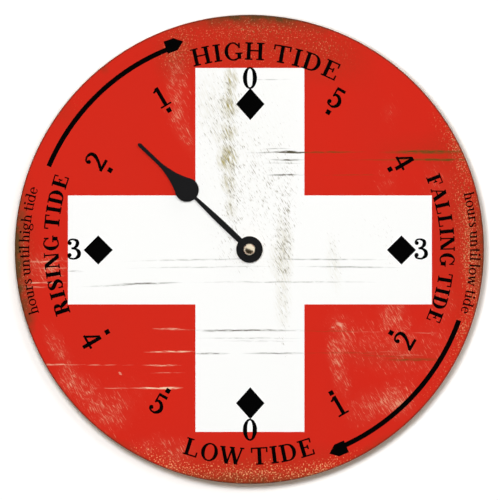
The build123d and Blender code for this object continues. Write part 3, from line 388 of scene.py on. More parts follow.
# Cracks along the boards of the old wall that the print shows.
cracks = (
    (24, 55.8, 10, 0.9, 0, 3.0), (14, 55.6, 18, 0.55, -1, 0.9), (44, 55.8, 26, 0.8, 0, 1.2),
    (102, 55.8, 30, 1.5, 0, 1.8), (22, 51.4, 11, 0.65, 0, 1.8), (92, 51.4, 44, 0.7, 0, 0.9),
    (110, 51.4, 20, 1.1, 0, 1.3), (20, 49.6, 14, 0.5, 0, 0.7), (21, 42.8, 12, 0.65, 0, 1.6),
    (60, 42.8, 26, 0.6, 0, 0.5), (16, 57.6, 12, 0.45, -1, 0.7), (-30, -5.4, 46, 0.6, -1.2, 0.7),
    (44, -5.3, 40, 0.55, 0.3, 0.9), (-26, -9.6, 50, 0.55, -0.8, 0.6), (58, -9.6, 34, 0.6, 0.8, 0.9),
    (-58, -18.9, 24, 0.65, -1, 1.1), (-70, -19.8, 32, 0.55, -2.2, 0.8), (22, -18.1, 62, 0.5, 0, 0.8),
    (0, -45.5, 38, 0.8, 0, 1.3), (-16, -46.0, 18, 0.6, 0, 0.6), (0, -50.0, 36, 0.5, 0, 0.7),
    (6, -51.6, 28, 0.5, 0, 0.5), (-22, -58.7, 13, 0.7, 0, 1.2), (16, -58.6, 22, 0.7, 0, 1.1),
    (94, -62.3, 20, 1.1, 0, 1.2), (82, -60.4, 26, 0.6, 2, 0.6), (56, -58.4, 30, 0.8, 0, 0.5),
    (48, -46, 26, 0.7, 0, 0.5), (-100, -12, 8, 0.7, 0, 0.6), (12, 97, 16, 0.45, 0, 0.5),
)
# Bare scratches across the red, cream where the print is through to the ground.
scratches = (
    (-46, -44.6, 12, 0.8, 0, 0.7), (-40, -45.2, 18, 0.5, 0, 0.4), (-43, -57.7, 19, 0.75, 0, 1.2),
    (-49, -65.4, 13, 0.75, 0, 0.9), (-86, -65.2, 30, 0.6, 0, 0.45), (-112, -65, 15, 0.9, 0, 0.7),
    (-46, -69.7, 14, 0.5, 0, 0.5), (-52, -78.4, 14, 0.8, 0, 1.5), (-44, -78.2, 8, 0.9, 0, 1.0),
    (-74, -78.4, 24, 0.5, 0, 0.5), (-114, -6.5, 17, 0.9, 0, 0.7), (-108, -10.2, 20, 0.6, 0, 0.6),
    (-116, -18.6, 16, 0.8, 0, 0.8), (-110, -14.5, 14, 0.6, 0, 0.4), (-121, -21, 10, 0.9, 0, 0.5),
    (64, -46.5, 30, 0.5, 0, 0.3), (100, -47, 12, 0.7, 0, 0.4), (76, -57.8, 22, 0.5, 0, 0.3),
    (90, -59.6, 14, 0.7, 2, 0.4), (-73, -70, 1.6, 0.9, 40, 0.8), (51.9, -42.2, 4.2, 1.8, 30, 0.8),
    (48, -43.8, 2.4, 1.2, -30, 0.5),
)

varnished_print, tree, place = start_material("printed_fibreboard")
axes = add(tree, "SeparateXYZ", (place,))


def wear(marks, pattern=1.0, where=place):
    """Total of soft ovals of wear over the front of the board, times a pattern that makes it uneven."""
    total = 0.0
    for x, z, length, width, tilt, strength in marks:
        oval = add(tree, "Mapping", {
            "Vector": where, "Location": (x, 0, z), "Rotation": (0, radians(tilt), 0),
            "Scale": (length, FAR, width),
        }, vector_type="TEXTURE")
        fade = add(tree, "TexGradient", (oval,), gradient_type="SPHERICAL").outputs["Fac"]
        total = add(tree, "Math", (fade, strength, total), operation="MULTIPLY_ADD")
    return add(tree, "Math", (total, pattern), operation="MULTIPLY")


def off_axis(tree, place):
    """How far a place is from the axis of the hand."""
    flat = add(tree, "VectorMath", (place, (1, 0, 1)), operation="MULTIPLY")
    return add(tree, "VectorMath", (flat,), operation="LENGTH")


def strands(lean, width, length):
    """Noise drawn out into fine strands of this width and length, that lean from the upright."""
    lie = add(tree, "Mapping", {
        "Vector": place, "Rotation": (0, radians(lean), 0), "Scale": (width, FAR, length),
    }, vector_type="TEXTURE")
    return add(tree, "TexNoise", (lie, 1.0, 3.0))


def broken(pattern, amount, low, high):
    """Marks that a pattern leaves where there is wear: the more wear, the closer they stand."""
    crowding = 0.22
    full_wear = 0.3
    level = add(tree, "Math", (amount, crowding, pattern), operation="MULTIPLY_ADD")
    marks = add(tree, "MapRange", (level, low, high))
    present = add(tree, "MapRange", (amount, 0.0, full_wear))
    return add(tree, "Math", (marks, present), operation="MULTIPLY")


# The white cross on red. The red changes a little in wide clouds.
CLOUD = 40.0
off_middle = add(tree, "VectorMath", (place, CROSS_MIDDLE), operation="SUBTRACT")
aside = add(tree, "VectorMath", (off_middle,), operation="ABSOLUTE")
ways = add(tree, "SeparateXYZ", (aside,)).outputs
arms = []
for across, along in ("XZ", "ZX"):
    in_width = add(tree, "Math", (ways[across], ARM_HALF_WIDTH), operation="LESS_THAN")
    in_reach = add(tree, "Math", (ways[along], ARM_REACH), operation="LESS_THAN")
    arms.append(add(tree, "Math", (in_width, in_reach), operation="MULTIPLY"))
cross = add(tree, "Math", arms, operation="MAXIMUM")
clouds = add(tree, "TexNoise", (place, 1 / CLOUD, 4.0))
red = add(tree, "Mix", (clouds, "#D7291A", "#CF2B1E"), data_type="RGBA")
ground = add(tree, "Mix", (cross, red, "#FDFDFB"), data_type="RGBA")

# Patterns that break the wear up, by width and detail; the finest are about one dot of the picture wide.
patches, grains, coarse_grains = (
    add(tree, "TexNoise", (place, 1 / width, detail))
    for width, detail in ((5.0, 5.0), (0.8, 2.0), (0.95, 1.0))
)
SPOT = 1.3
SPOTS_SHIFT = (37, 0, 11)
SWAY = 14.0
SWAY_REACH = (0.9, 0.9, 0.9)
shifted = add(tree, "VectorMath", (place, SPOTS_SHIFT), operation="ADD")
spots = add(tree, "TexNoise", (shifted, 1 / SPOT, 3.0))
fine_strands = strands(-28, 0.5, 6.0)
cross_strands = strands(-50, 0.5, 4.0)
short_strands = strands(-30, 0.55, 3.2)
long_strands = strands(-22, 0.8, 6.0)
dashes = strands(90, 0.6, 5.0)
sway = add(tree, "TexNoise", (place, 1 / SWAY, 2.0)).outputs["Color"]
swayed = add(tree, "VectorMath", (sway, SWAY_REACH, place), operation="MULTIPLY_ADD")

# How far in from the edge the rim is stained, and how far the painted shade of the eased edge reaches; and
# the patterns with more contrast.
STAIN_REACH = 10.0
EDGE_SHADE_FROM = 1.2
EDGE_SHADE_FULL = 0.3
from_middle = off_axis(tree, place)
near_rim = add(tree, "MapRange", (from_middle, RADIUS - STAIN_REACH, RADIUS))
edge_shade_ramp = add(tree, "MapRange", (from_middle, RADIUS - EDGE_SHADE_FROM, RADIUS - EDGE_SHADE_FULL))
patchy = add(tree, "Math", (patches, 1.6, -0.1), operation="MULTIPLY_ADD")
spotted = add(tree, "Math", (spots, 2.2, -0.1), operation="MULTIPLY_ADD")
streaky = add(tree, "Math", (long_strands, 6.0, -2.2), operation="MULTIPLY_ADD")
crack_dashes = add(tree, "MapRange", (dashes, 0.3, 0.56))
scratch_dashes = add(tree, "MapRange", (dashes, 0.3, 0.6))
rim_patches = add(tree, "Math", (near_rim, patchy), operation="MULTIPLY")

# Each kind of wear, as a share of the front.
stain = add(tree, "MapRange", (wear(rim_stains, rim_patches), 0.05, 0.75))
haze = wear(hazes, spotted)
fleck_amount = wear(flecks)
fleck = broken(grains, fleck_amount, 0.68, 0.86)
olive_fleck = broken(spots, fleck_amount, 0.68, 0.82)
chip = broken(coarse_grains, wear(chips), 0.69, 0.79)
scuff_amount = wear(scuffs, patchy)
leaning = broken(fine_strands, scuff_amount, 0.67, 0.83)
crossing = broken(cross_strands, scuff_amount, 0.7, 0.86)
scuff = add(tree, "Math", (leaning, crossing), operation="MAXIMUM")
veil = add(tree, "MapRange", (scuff_amount, 0.1, 1.3))
tint = wear(tints, streaky)
speck = broken(short_strands, wear(specks, patchy), 0.67, 0.83)
crack = wear(cracks, crack_dashes, swayed)
open_crack = add(tree, "MapRange", (crack, 0.05, 1.1))
scratch = wear(scratches, scratch_dashes, swayed)
bare = add(tree, "MapRange", (scratch, 0.1, 0.9))

# The wear laid over the print, layer on layer: its colour, where it is, and how much of the print it hides.
red_layers = (
    ("#5A3C1E", haze, 1.0), ("#5E3F22", stain, 1.0), ("#7C6030", olive_fleck, 0.55),
    ("#EBAA7A", fleck, 0.75), ("#F0B47C", chip, 0.85), ("#E08A6E", veil, 0.16), ("#EDB793", scuff, 0.66),
    ("#F9D2B0", bare, 1.0),
)
white_layers = (("#A3943A", tint, 0.72), ("#75673F", speck, 0.78))
fields = []
for layers in (red_layers, white_layers):
    worn_field = ground
    for colour, mark, cover in layers:
        share = add(tree, "Math", (mark, cover), operation="MULTIPLY")
        worn_field = add(tree, "Mix", (share, worn_field, colour), data_type="RGBA")
    fields.append(worn_field)
aged = add(tree, "Mix", (cross, *fields), data_type="RGBA")
crack_colour = add(tree, "Mix", (cross, "#6E4A1E", "#4E4836"), data_type="RGBA")
cracked = add(tree, "Mix", (open_crack, aged, crack_colour), data_type="RGBA")
# Painted shade: the print turns a dark brown over its last mm, where it bends down over the eased edge.
painted_edge_shade = add(tree, "Math", (edge_shade_ramp, 0.6), operation="MULTIPLY")
print_colour = add(tree, "Mix", (painted_edge_shade, cracked, "#5A2A18"), data_type="RGBA")

# Sawn and sealed fibreboard on the rim, and the bare pressed face on the back.
FIBRE_LENGTH = 2.0
FIBRES_PER_MM = 3.0
BACK_FIBRE = 1.6
fibre_lie = add(tree, "Mapping", {
    "Vector": place, "Scale": (1 / FIBRE_LENGTH, FIBRES_PER_MM, 1 / FIBRE_LENGTH),
})
fibres = add(tree, "TexNoise", (fibre_lie, 1.0, 5.0))
rim_colour = add(tree, "Mix", (fibres, "#5A3F28", "#86653F"), data_type="RGBA")
pressed = add(tree, "TexNoise", (place, 1 / BACK_FIBRE, 6.0))
pressed_share = add(tree, "MapRange", (pressed, 0.3, 0.7))
back_colour = add(tree, "Mix", (pressed_share, "#8F6B45", "#B8956A"), data_type="RGBA")
on_front = add(tree, "Math", (axes.outputs["Y"], PRINT_DEPTH - FRONT), operation="LESS_THAN")
on_back = add(tree, "Math", (axes.outputs["Y"], -BACK - BACK_SKIN), operation="GREATER_THAN")
bare_board = add(tree, "Mix", (on_back, rim_colour, back_colour), data_type="RGBA")
board_colour = add(tree, "Mix", (on_front, bare_board, print_colour), data_type="RGBA")

# A matt varnish on the print, dull fibres elsewhere; scratches break the gloss.
GRAIN_RELIEF = 0.25
RELIEF_DEPTH = 0.06
lines = add(tree, "Math", (scratch, crack), operation="MAXIMUM")
worn = add(tree, "Math", (scuff, lines), operation="MAXIMUM")
print_gloss = add(tree, "MapRange", (worn, 0.0, 1.0, 0.78, 0.9))
gloss = add(tree, "Mix", (on_front, 0.85, print_gloss))
sunk = add(tree, "Math", (worn, -1.0), operation="MULTIPLY")
print_relief = add(tree, "Math", (grains, GRAIN_RELIEF, sunk), operation="MULTIPLY_ADD")
relief = add(tree, "Mix", (on_front, fibres, print_relief))
sockets = {"Base Color": board_colour, "Roughness": gloss, "IOR": 1.5, "Specular IOR Level": 0.12}
end_material(tree, sockets, relief, 0.3, RELIEF_DEPTH)
dress(varnished_print, "dial_disc")


# Dial marks: numerals, words, diamonds, dots and arrows screen printed in black ink over the varnish.
# Each mark is a thin film of ink that stands a few hundredths of a millimetre proud.

INK_PROUD = 0.05
INK_SUNK = 0.03
# Thin strokes and serifs, in heights of a letter, and the steps that curves are drawn in.
HAIR = 0.085
SERIF = 0.1
CURVE_STEPS = 7
BOWL_STEP = 12
BALL_SIDES = 16

# Dense black ink: matt, with a slight mottle from the screen; the mottle is drawn 0.7 mm wide.
black_ink = grained("screen_printed_black_ink", "#020202", "#040404", 0.85, 0.7, 0.01, 1.5, specular=0.04)


def bar(left, bottom, right, top):
    """Upright rectangle."""
    return [[(left, bottom), (right, bottom), (right, top), (left, top)]]


def beam(x_low, low, x_high, high, width):
    """Slanted stroke with level ends."""
    half = width / 2
    return [[(x_low - half, low), (x_low + half, low), (x_high + half, high), (x_high - half, high)]]


def ribbon(spine):
    """Stroke along a line of points with their widths, as a row of four-sided cells."""
    edges = []
    for i, (x, y, width) in enumerate(spine):
        before = spine[max(i - 1, 0)]
        after = spine[min(i + 1, len(spine) - 1)]
        run = hypot(after[0] - before[0], after[1] - before[1])
        nx = (before[1] - after[1]) / run * width / 2
        ny = (after[0] - before[0]) / run * width / 2
        edges.append(((x + nx, y + ny), (x - nx, y - ny)))
    return [[a[0], a[1], b[1], b[0]] for a, b in zip(edges, edges[1:])]


def bowl(x, y, rx, ry, start, end, thick, thin):
    """Part of an oval stroke, thick at the sides and thin above and below, from one angle to another."""
    steps = max(4, int(abs(end - start) / BOWL_STEP))
    spine = []
    for step in range(steps + 1):
        turn = radians(start + (end - start) * step / steps)
        spine.append((x + rx * cos(turn), y + ry * sin(turn), thin + (thick - thin) * cos(turn) ** 2))
    return ribbon(spine)


def pen(*nodes):
    """Smooth stroke through points with their widths."""
    spine = []
    for i in range(len(nodes) - 1):
        a, b, c, d = (nodes[min(max(j, 0), len(nodes) - 1)] for j in range(i - 1, i + 3))
        for step in range(CURVE_STEPS + (i == len(nodes) - 2)):
            t = step / CURVE_STEPS
            spine.append(tuple(
                q + t / 2 * (r - p + t * (2 * p - 5 * q + 4 * r - s + t * (3 * (q - r) + s - p)))
                for p, q, r, s in zip(a, b, c, d)
            ))
    return ribbon(spine)


def ball(x, y, radius):
    """Round end of a stroke, or the dot of a letter."""
    turns = [2 * pi * side / BALL_SIDES for side in range(BALL_SIDES)]
    return [[(x + radius * cos(turn), y + radius * sin(turn)) for turn in turns]]


def post(x, stem, low=0.0, high=1.0, left=SERIF, right=SERIF, feet="both"):
    """Upright stem with thin serifs on its feet."""
    half = stem / 2
    cells = bar(x - half, low, x + half, high)
    for foot, y in (("low", low), ("high", high - HAIR)):
        if feet in (foot, "both"):
            cells += bar(x - half - left, y, x + half + right, y + HAIR)
    return cells


def capital(letter, s):
    """Width and strokes of a serif capital, in heights of a capital, with a stem of width s."""
    # A hairline's width, and the middle of a stem on the left.
    h = HAIR
    a = 0.11 + s / 2
    arm_top = bar(a, 1 - h, 0.76, 1) + bar(0.76 - h, 0.72, 0.76, 1)
    arm_middle = bar(a, 0.49, 0.56, 0.49 + h) + bar(0.56 - h, 0.39, 0.56, 0.65)
    arm_low = bar(a, 0, 0.8, h) + bar(0.8 - h, 0, 0.8, 0.3)
    shapes = {
        "A": (0.98, beam(0.13, 0, 0.47, 1, h * 1.1) + beam(0.8, 0, 0.47, 1, s * 1.1)
              + bar(0.24, 0.31, 0.68, 0.31 + h) + bar(0.02, 0, 0.27, h) + bar(0.64, 0, 0.97, h)),
        "D": (0.98, post(a, s, right=0) + bar(a, 0, 0.46, h) + bar(a, 1 - h, 0.46, 1)
              + bowl(0.44, 0.5, 0.47 - s / 2, 0.5 - h / 2, -90, 90, s, h)),
        "E": (0.84, post(a, s, right=0) + arm_top + arm_middle + arm_low),
        "F": (0.8, post(a, s) + arm_top + arm_middle),
        "G": (0.96, bowl(0.49, 0.5, 0.45 - s / 2, 0.53 - h / 2, 58, 300, s, h)
              + pen((0.67, 0.91, h * 1.2), (0.76, 0.82, h), (0.82, 0.68, h))
              + bar(0.78, 0.66, 0.78 + h, 0.98)
              + pen((0.72, 0.1, h), (0.63, 0.03, h), (0.49, h / 2 - 0.03, h))
              + post(0.8, s, 0.06, 0.42, 0.1, 0.08, "high")),
        "H": (1.02, post(a, s) + post(1.02 - a, s) + bar(a, 0.49, 1.02 - a, 0.49 + h)),
        "I": (2 * a, post(a, s)),
        "L": (0.84, post(a, s) + arm_low),
        "N": (1.04, post(0.16, h * 1.1, feet="low") + post(0.9, h * 1.1, feet="high")
              + beam(0.9 - s * 0.3, 0, 0.16 + s * 0.1, 1, s * 1.15) + bar(0.0, 1 - h, 0.2, 1)),
        "O": (0.96, bowl(0.48, 0.5, 0.47 - s / 2, 0.53 - h / 2, 0, 372, s, h)),
        "R": (0.98, post(a, s) + bar(a, 1 - h, 0.46, 1) + bar(a, 0.47, 0.5, 0.47 + h)
              + bowl(0.45, 0.74, 0.33 - s / 2, 0.26 - h / 2, -90, 90, s, h)
              + pen((0.48, 0.5, s * 0.6), (0.62, 0.34, s), (0.76, 0.08, s), (0.84, h / 2, h * 1.5))
              + bar(0.76, 0, 0.98, h)),
        "S": (0.7, pen((0.57, 0.74, h), (0.5, 0.92, h), (0.34, 0.97, h), (0.17, 0.87, s * 0.75),
                       (0.17, 0.7, s), (0.34, 0.55, s * 1.05), (0.52, 0.41, s), (0.54, 0.22, s * 0.9),
                       (0.42, 0.06, s * 0.55), (0.3, 0.03, h), (0.15, 0.1, h), (0.1, 0.28, h))
              + bar(0.55, 0.68, 0.55 + h, 0.99) + bar(0.08, 0.01, 0.08 + h, 0.33)),
        "T": (0.98, post(0.49, s, feet="low") + bar(0.03, 1 - h, 0.95, 1)
              + bar(0.03, 0.7, 0.03 + h, 1) + bar(0.95 - h, 0.7, 0.95, 1)),
        "W": (1.36, beam(0.42, 0, 0.14, 1, s) + beam(0.42, 0, 0.7, 1, h * 1.2)
              + beam(0.94, 0, 0.66, 1, s) + beam(0.94, 0, 1.22, 1, h * 1.2)
              + bar(0.0, 1 - h, 0.3, 1) + bar(0.52, 1 - h, 0.82, 1) + bar(1.1, 1 - h, 1.34, 1)),
    }
    return shapes[letter]


def small_letter(letter, s):
    """Width and strokes of a small serif letter, in heights of an ascender, with a stem of width s."""
    h = HAIR * 0.85
    x_height = 0.66
    arch = bowl(0.3, 0.42, 0.16, 0.22, 0, 170, s, h) + post(0.46, s, 0, 0.44, 0.07, 0.07, "low")
    flag = bar(0.03, x_height - h, 0.14, x_height)
    ring = bowl(0.27, 0.33, 0.21, 0.31, 0, 372, s, h)
    shapes = {
        "d": (0.6, ring + post(0.47, s, 0, 1, 0.09, 0.0, "high") + bar(0.47, 0, 0.58, h)),
        "e": (0.52, bowl(0.27, 0.33, 0.2, 0.31, 0, 318, s, h) + bar(0.07, 0.33, 0.5, 0.33 + h)),
        "g": (0.56, bowl(0.25, 0.44, 0.17, 0.2, 0, 372, s, h)
              + pen((0.38, 0.58, h), (0.46, 0.64, h), (0.54, 0.62, s))
              + pen((0.16, 0.28, h), (0.1, 0.18, s), (0.2, 0.1, s), (0.38, 0.08, s))
              + bowl(0.27, -0.1, 0.22, 0.15, 0, 372, s * 0.8, h)),
        "h": (0.6, post(0.14, s, 0, 1, 0.08, 0.06, "low") + bar(0.03, 1 - h, 0.14, 1) + arch),
        "i": (0.28, post(0.14, s, 0, x_height, 0.08, 0.08, "low") + flag + ball(0.14, 0.88, s * 0.75)),
        "l": (0.28, post(0.14, s, 0, 1, 0.08, 0.08, "low") + bar(0.03, 1 - h, 0.14, 1)),
        "n": (0.6, post(0.14, s, 0, x_height, 0.08, 0.06, "low") + flag + arch),
        "o": (0.54, ring),
        "r": (0.44, post(0.14, s, 0, x_height, 0.08, 0.09, "low") + flag
              + pen((0.14, 0.42, h), (0.22, 0.58, h), (0.36, 0.62, h)) + ball(0.37, 0.58, s * 0.6)),
        "s": (0.44, pen((0.35, 0.5, h), (0.3, 0.61, h), (0.2, 0.64, h), (0.1, 0.56, s * 0.8),
                        (0.13, 0.43, s), (0.28, 0.29, s), (0.34, 0.17, s), (0.28, 0.05, s * 0.7),
                        (0.18, 0.02, h), (0.08, 0.08, h), (0.06, 0.19, h))),
        "t": (0.4, bar(0.14, 0.14, 0.14 + s, 0.88) + bar(0.03, x_height - h, 0.36, x_height)
              + pen((0.14 + s / 2, 0.16, s), (0.2, 0.05, s * 0.8), (0.28, 0.02, h), (0.37, 0.1, h))),
        "u": (0.6, post(0.14, s, 0.2, x_height, 0.09, 0.0, "high")
              + bowl(0.3, 0.22, 0.16, 0.2, 180, 350, s, h)
              + post(0.46, s, 0, x_height, 0.09, 0.0, "high") + bar(0.46, 0, 0.57, h)),
        "w": (0.84, beam(0.26, 0, 0.1, x_height, s) + beam(0.26, 0, 0.43, x_height, h)
              + beam(0.58, 0, 0.42, x_height, s) + beam(0.58, 0, 0.75, x_height, h)
              + bar(0.0, x_height - h, 0.2, x_height) + bar(0.33, x_height - h, 0.5, x_height)
              + bar(0.66, x_height - h, 0.83, x_height)),
    }
    return shapes[letter]


def numeral(figure, s):
    """Width and strokes of a numeral, in heights of a numeral, with a stem of width s."""
    h = HAIR
    shapes = {
        "0": (0.68, bowl(0.34, 0.5, 0.34 - s * 0.58, 0.53 - h / 2, 0, 372, s * 1.15, h)),
        "1": (0.58, post(0.3, s, left=0.19, right=0.19, feet="low")
              + pen((0.28, 0.95, h * 1.8), (0.17, 0.87, h * 1.3), (0.06, 0.84, h))),
        "2": (0.68, ball(0.15, 0.76, 0.1) + bar(0.04, 0, 0.65, 0.14)
              + pen((0.08, 0.75, h), (0.13, 0.9, h), (0.32, 0.96, h * 1.2), (0.52, 0.87, s * 0.85),
                    (0.55, 0.68, s), (0.42, 0.42, s * 0.8), (0.22, 0.2, h * 1.6), (0.09, 0.07, h * 1.4))),
        "3": (0.68, ball(0.14, 0.78, 0.095) + ball(0.13, 0.21, 0.1)
              + pen((0.07, 0.79, h), (0.13, 0.92, h), (0.31, 0.96, h), (0.49, 0.87, s * 0.85),
                    (0.49, 0.7, s * 0.95), (0.37, 0.57, s * 0.55), (0.22, 0.53, h))
              + pen((0.22, 0.53, h), (0.42, 0.5, s * 0.6), (0.57, 0.36, s), (0.56, 0.18, s),
                    (0.41, 0.05, s * 0.55), (0.26, 0.04, h), (0.11, 0.09, h), (0.06, 0.23, h))),
        "4": (0.78, bar(0.52 - s / 2, 0, 0.52 + s / 2, 0.99) + beam(0.1, 0.3, 0.47, 0.99, h * 1.4)
              + bar(0.04, 0.27, 0.76, 0.27 + h * 1.3)),
        "5": (0.66, bar(0.14, 0.85, 0.59, 0.99) + bar(0.13, 0.5, 0.13 + h, 0.99) + ball(0.13, 0.2, 0.1)
              + pen((0.15, 0.5, h), (0.25, 0.61, h * 1.4), (0.42, 0.58, s * 0.85), (0.56, 0.4, s),
                    (0.55, 0.2, s), (0.4, 0.05, s * 0.65), (0.25, 0.04, h), (0.1, 0.1, h), (0.06, 0.22, h))),
    }
    return shapes[figure]


def inside(point, cell):
    """True where a point lies in a cell."""
    within = False
    for (ax, ay), (bx, by) in zip(cell, cell[1:] + cell[:1]):
        if (ay > point.y) != (by > point.y) and point.x < ax + (bx - ax) * (point.y - ay) / (by - ay):
            within = not within
    return within


def ink_film(name, marks):
    """Prints marks, each a list of cells in mm over the front of the board, as films without overlaps."""
    inside_faces = 1
    weld = 1e-4
    mesh = bmesh.new()
    for cells in marks:
        points = []
        faces = []
        for cell in cells:
            faces.append(list(range(len(points), len(points) + len(cell))))
            points += [Vector(point) for point in cell]
        flat, _, parts, *_ = delaunay_2d_cdt(points, [], faces, inside_faces, weld)
        kept = []
        for part in parts:
            middle = sum((flat[i] for i in part), Vector((0, 0))) / len(part)
            if any(inside(middle, cell) for cell in cells):
                kept.append(part)
        low = [mesh.verts.new((p.x * MM, (INK_SUNK - FRONT) * MM, p.y * MM)) for p in flat]
        high = [mesh.verts.new((p.x * MM, -(FRONT + INK_PROUD) * MM, p.y * MM)) for p in flat]
        sides = {(part[i - 1], part[i]) for part in kept for i in range(len(part))}
        for part in kept:
            mesh.faces.new([high[i] for i in part])
            mesh.faces.new([low[i] for i in reversed(part)])
        for a, b in sorted(sides):
            if (b, a) not in sides:
                mesh.faces.new((high[b], high[a], low[a], low[b]))
    bmesh.ops.delete(mesh, geom=[v for v in mesh.verts if not v.link_faces], context="VERTS")
    piece_from(mesh, name, black_ink, "clock")


def on_clock(radius, bearing):
    """Place at a radius and a bearing, clockwise from the top."""
    return radius * sin(radians(bearing)), radius * cos(radians(bearing))


def set_down(cells, middle, size, x, z, turn):
    """Cells of a mark scaled to its size, turned clockwise and set with its middle at a place."""
    c, s = cos(radians(turn)), sin(radians(turn))
    placed = []
    for cell in cells:
        shifted = [((px - middle[0]) * size, (py - middle[1]) * size) for px, py in cell]
        placed.append([(x + px * c + py * s, z - px * s + py * c) for px, py in shifted])
    return placed


# Numerals: hours to the next tide. They stand upright beside the diamonds and turn with the dial elsewhere,
# in the lower half with their tops to the middle. Each has its place and its turn.
NUMERAL_HEIGHT = 11.9
NUMERAL_STEM = 0.18
hour_numerals = (
    ("0", 0.3, 97.4, 0), ("5", 49.4, 86.2, 30), ("4", 87.4, 50.0, 60), ("3", 97.5, 0.3, 0),
    ("2", 88.1, -51.8, 300), ("1", 50.8, -88.7, 330), ("0", 0.3, -102.5, 0), ("5", -51.8, -87.6, 30),
    ("4", -90.2, -51.5, 60), ("3", -99.7, 0.2, 0), ("2", -87.4, 50.1, 300), ("1", -50.2, 86.6, 330),
)
figures = []
for figure, x, z, turn in hour_numerals:
    width, strokes = numeral(figure, NUMERAL_STEM)
    figures.append(set_down(strokes, (width / 2, 0.5), NUMERAL_HEIGHT, x, z, turn))
ink_film("hour_numerals", figures)

# Dots of the hours: small squares between the numerals and the centre.
DOT_SIDE = 2.7
hour_dots = (
    (44.8, 78.0, 30), (79.9, 45.5, 60), (80.5, -47.4, 120), (46.5, -81.6, 150),
    (-46.3, -80.4, 210), (-80.8, -46.9, 240), (-79.2, 45.0, 300), (-45.7, 79.2, 330),
)
square = bar(-0.5, -0.5, 0.5, 0.5)
ink_film("hour_dots", [set_down(square, (0, 0), DOT_SIDE, *spot) for spot in hour_dots])

# Diamonds at high, low and half tide: the place, half width and half height of each.
diamonds = (
    (0.5, 82.6, 8.1, 9.1), (86.4, -0.34, 8.3, 8.3), (0.5, -87.4, 8.1, 9.1), (-85.9, -0.34, 8.3, 8.3),
)
ink_film("tide_diamonds", [
    [[(x - half_width, z), (x, z - half_height), (x + half_width, z), (x, z + half_height)]]
    for x, z, half_width, half_height in diamonds
])

# Arrows that show which way the hand goes round.
ARROW_STROKE = 2.8
HEAD_WIDTH = 7.3
HEAD_LENGTH = 10.5
HEAD_SQUARE = 6.0
SHAFT_STEPS = 30
# The shaft goes on this many degrees into the head.
OVERLAP = 1
# Bearings of an arrow's tail and tip, and the radius at its tail, at the end of its shaft and of its head.
courses = ((-67.5, -17.7, 123.4, 122.8, 124.1), (108.7, 158.6, 125.7, 123.8, 124.7))
arrows = []
for tail, tip, tail_radius, neck_radius, head_radius in courses:
    neck = tip - degrees(HEAD_LENGTH / head_radius)
    shaft = []
    for step in range(SHAFT_STEPS + 1):
        along = step / SHAFT_STEPS
        radius = tail_radius + (neck_radius - tail_radius) * along
        shaft.append((*on_clock(radius, tail + (neck + OVERLAP - tail) * along), ARROW_STROKE))
    side = HEAD_WIDTH / 2
    head = [(0, -side), (HEAD_SQUARE, -side), (HEAD_LENGTH, 0), (HEAD_SQUARE, side), (0, side)]
    head_cells = set_down([head], (0, 0), 1, *on_clock(head_radius, neck), (neck + tip) / 2)
    arrows.append(ribbon(shaft) + head_cells)
ink_film("course_arrows", arrows)


def words_on_arc(name, words, face, height, wide, stem, middle, radius, first, last, space=0.3, tops="out"):
    """Prints words along an arc about a middle, with the first and the last letter at these bearings."""
    letters = []
    run = 0.0
    for letter in words:
        if letter == " ":
            run += space
            continue
        width, strokes = face(letter, stem)
        half = width * wide / 2
        stretched = [[(x * wide, z) for x, z in cell] for cell in strokes]
        letters.append((stretched, run + half, half))
        run += width * wide
    gaps = len(letters) - 1
    start = letters[0][1]
    gap = (abs(last - first) * pi / 180 * radius / height - letters[-1][1] + start) / gaps
    laid = []
    for number, (strokes, middle_run, half) in enumerate(letters):
        along = degrees((middle_run - start + number * gap) * height / radius)
        bearing = first + along if tops == "out" else first - along
        turn = bearing if tops == "out" else bearing + 180
        x, z = on_clock(radius, bearing)
        laid.append(set_down(strokes, (half, 0), height, middle[0] + x, middle[1] + z, turn))
    ink_film(name, laid)


# Words for the four quarters of the tide, and what the numerals count. Each has the height, stretch and stem
# of its letters, the middle and radius of its arc, and the bearings of its first and last letter. A space
# between words is in heights of a letter.
SMALL_SPACE = 0.25
WIDE_SPACE = 0.36
words_on_arc("high_tide_words", "HIGH TIDE", capital, 10.0, 1.09, 0.2, (-1.9, -3.2), 110.9, -12.7, 24.7)
words_on_arc("low_tide_words", "LOW TIDE", capital, 9.9, 1.04, 0.21, (0.1, -8.3), 114.2, 197.4, 162.9,
             tops="in")
words_on_arc("rising_tide_words", "RISING TIDE", capital, 8.5, 1.04, 0.25, (5.6, 3.6), 114.1, 252.0, 287.2)
words_on_arc("falling_tide_words", "FALLING TIDE", capital, 8.2, 0.98, 0.26, (5.7, 0.4), 102.8, 68.7, 111.1,
             WIDE_SPACE)
words_on_arc("hours_to_high_words", "hours until high tide", small_letter, 5.95, 1.26, 0.125, (-6.1, 0.2),
             119.0, 253.4, 285.9, SMALL_SPACE)
words_on_arc("hours_to_low_words", "hours until low tide", small_letter, 6.1, 1.2, 0.13, (1.2, 1.1),
             124.3, 76.7, 106.3, SMALL_SPACE)


# Bush, washer and nut: turned brass, which clamp the board, gasket, hanger and case together.
# The arbor, which turns inside the bush, and the hand's collet are turned from the same brass.

def turned(name, colour, shade, line):
    """Turned metal: rings from the tool about the hand's axis, this far apart, under a film of tarnish."""
    film_width = 2.5
    ring_depth = 0.004
    gloss = (0.18, 0.42)
    material, tree, place = start_material(name)
    depth = add(tree, "SeparateXYZ", (place,)).outputs["Y"]
    rings = add(tree, "CombineXYZ", (off_axis(tree, place), depth))
    marks = add(tree, "TexNoise", (rings, 1 / line, 3.0))
    end_metal(tree, place, marks, (colour, shade), gloss, film_width, 0.15, 0.15, ring_depth)
    return material


# Plain turned brass: yellow with fine tool rings, drawn 0.2 mm apart, a little dulled by handling.
plain_brass = turned("turned_brass", "#D9B25F", "#B48A3C", 0.2)
dress(plain_brass, "threaded_bush", "hex_nut", "dial_washer", "tide_arbor", "hand_collet")


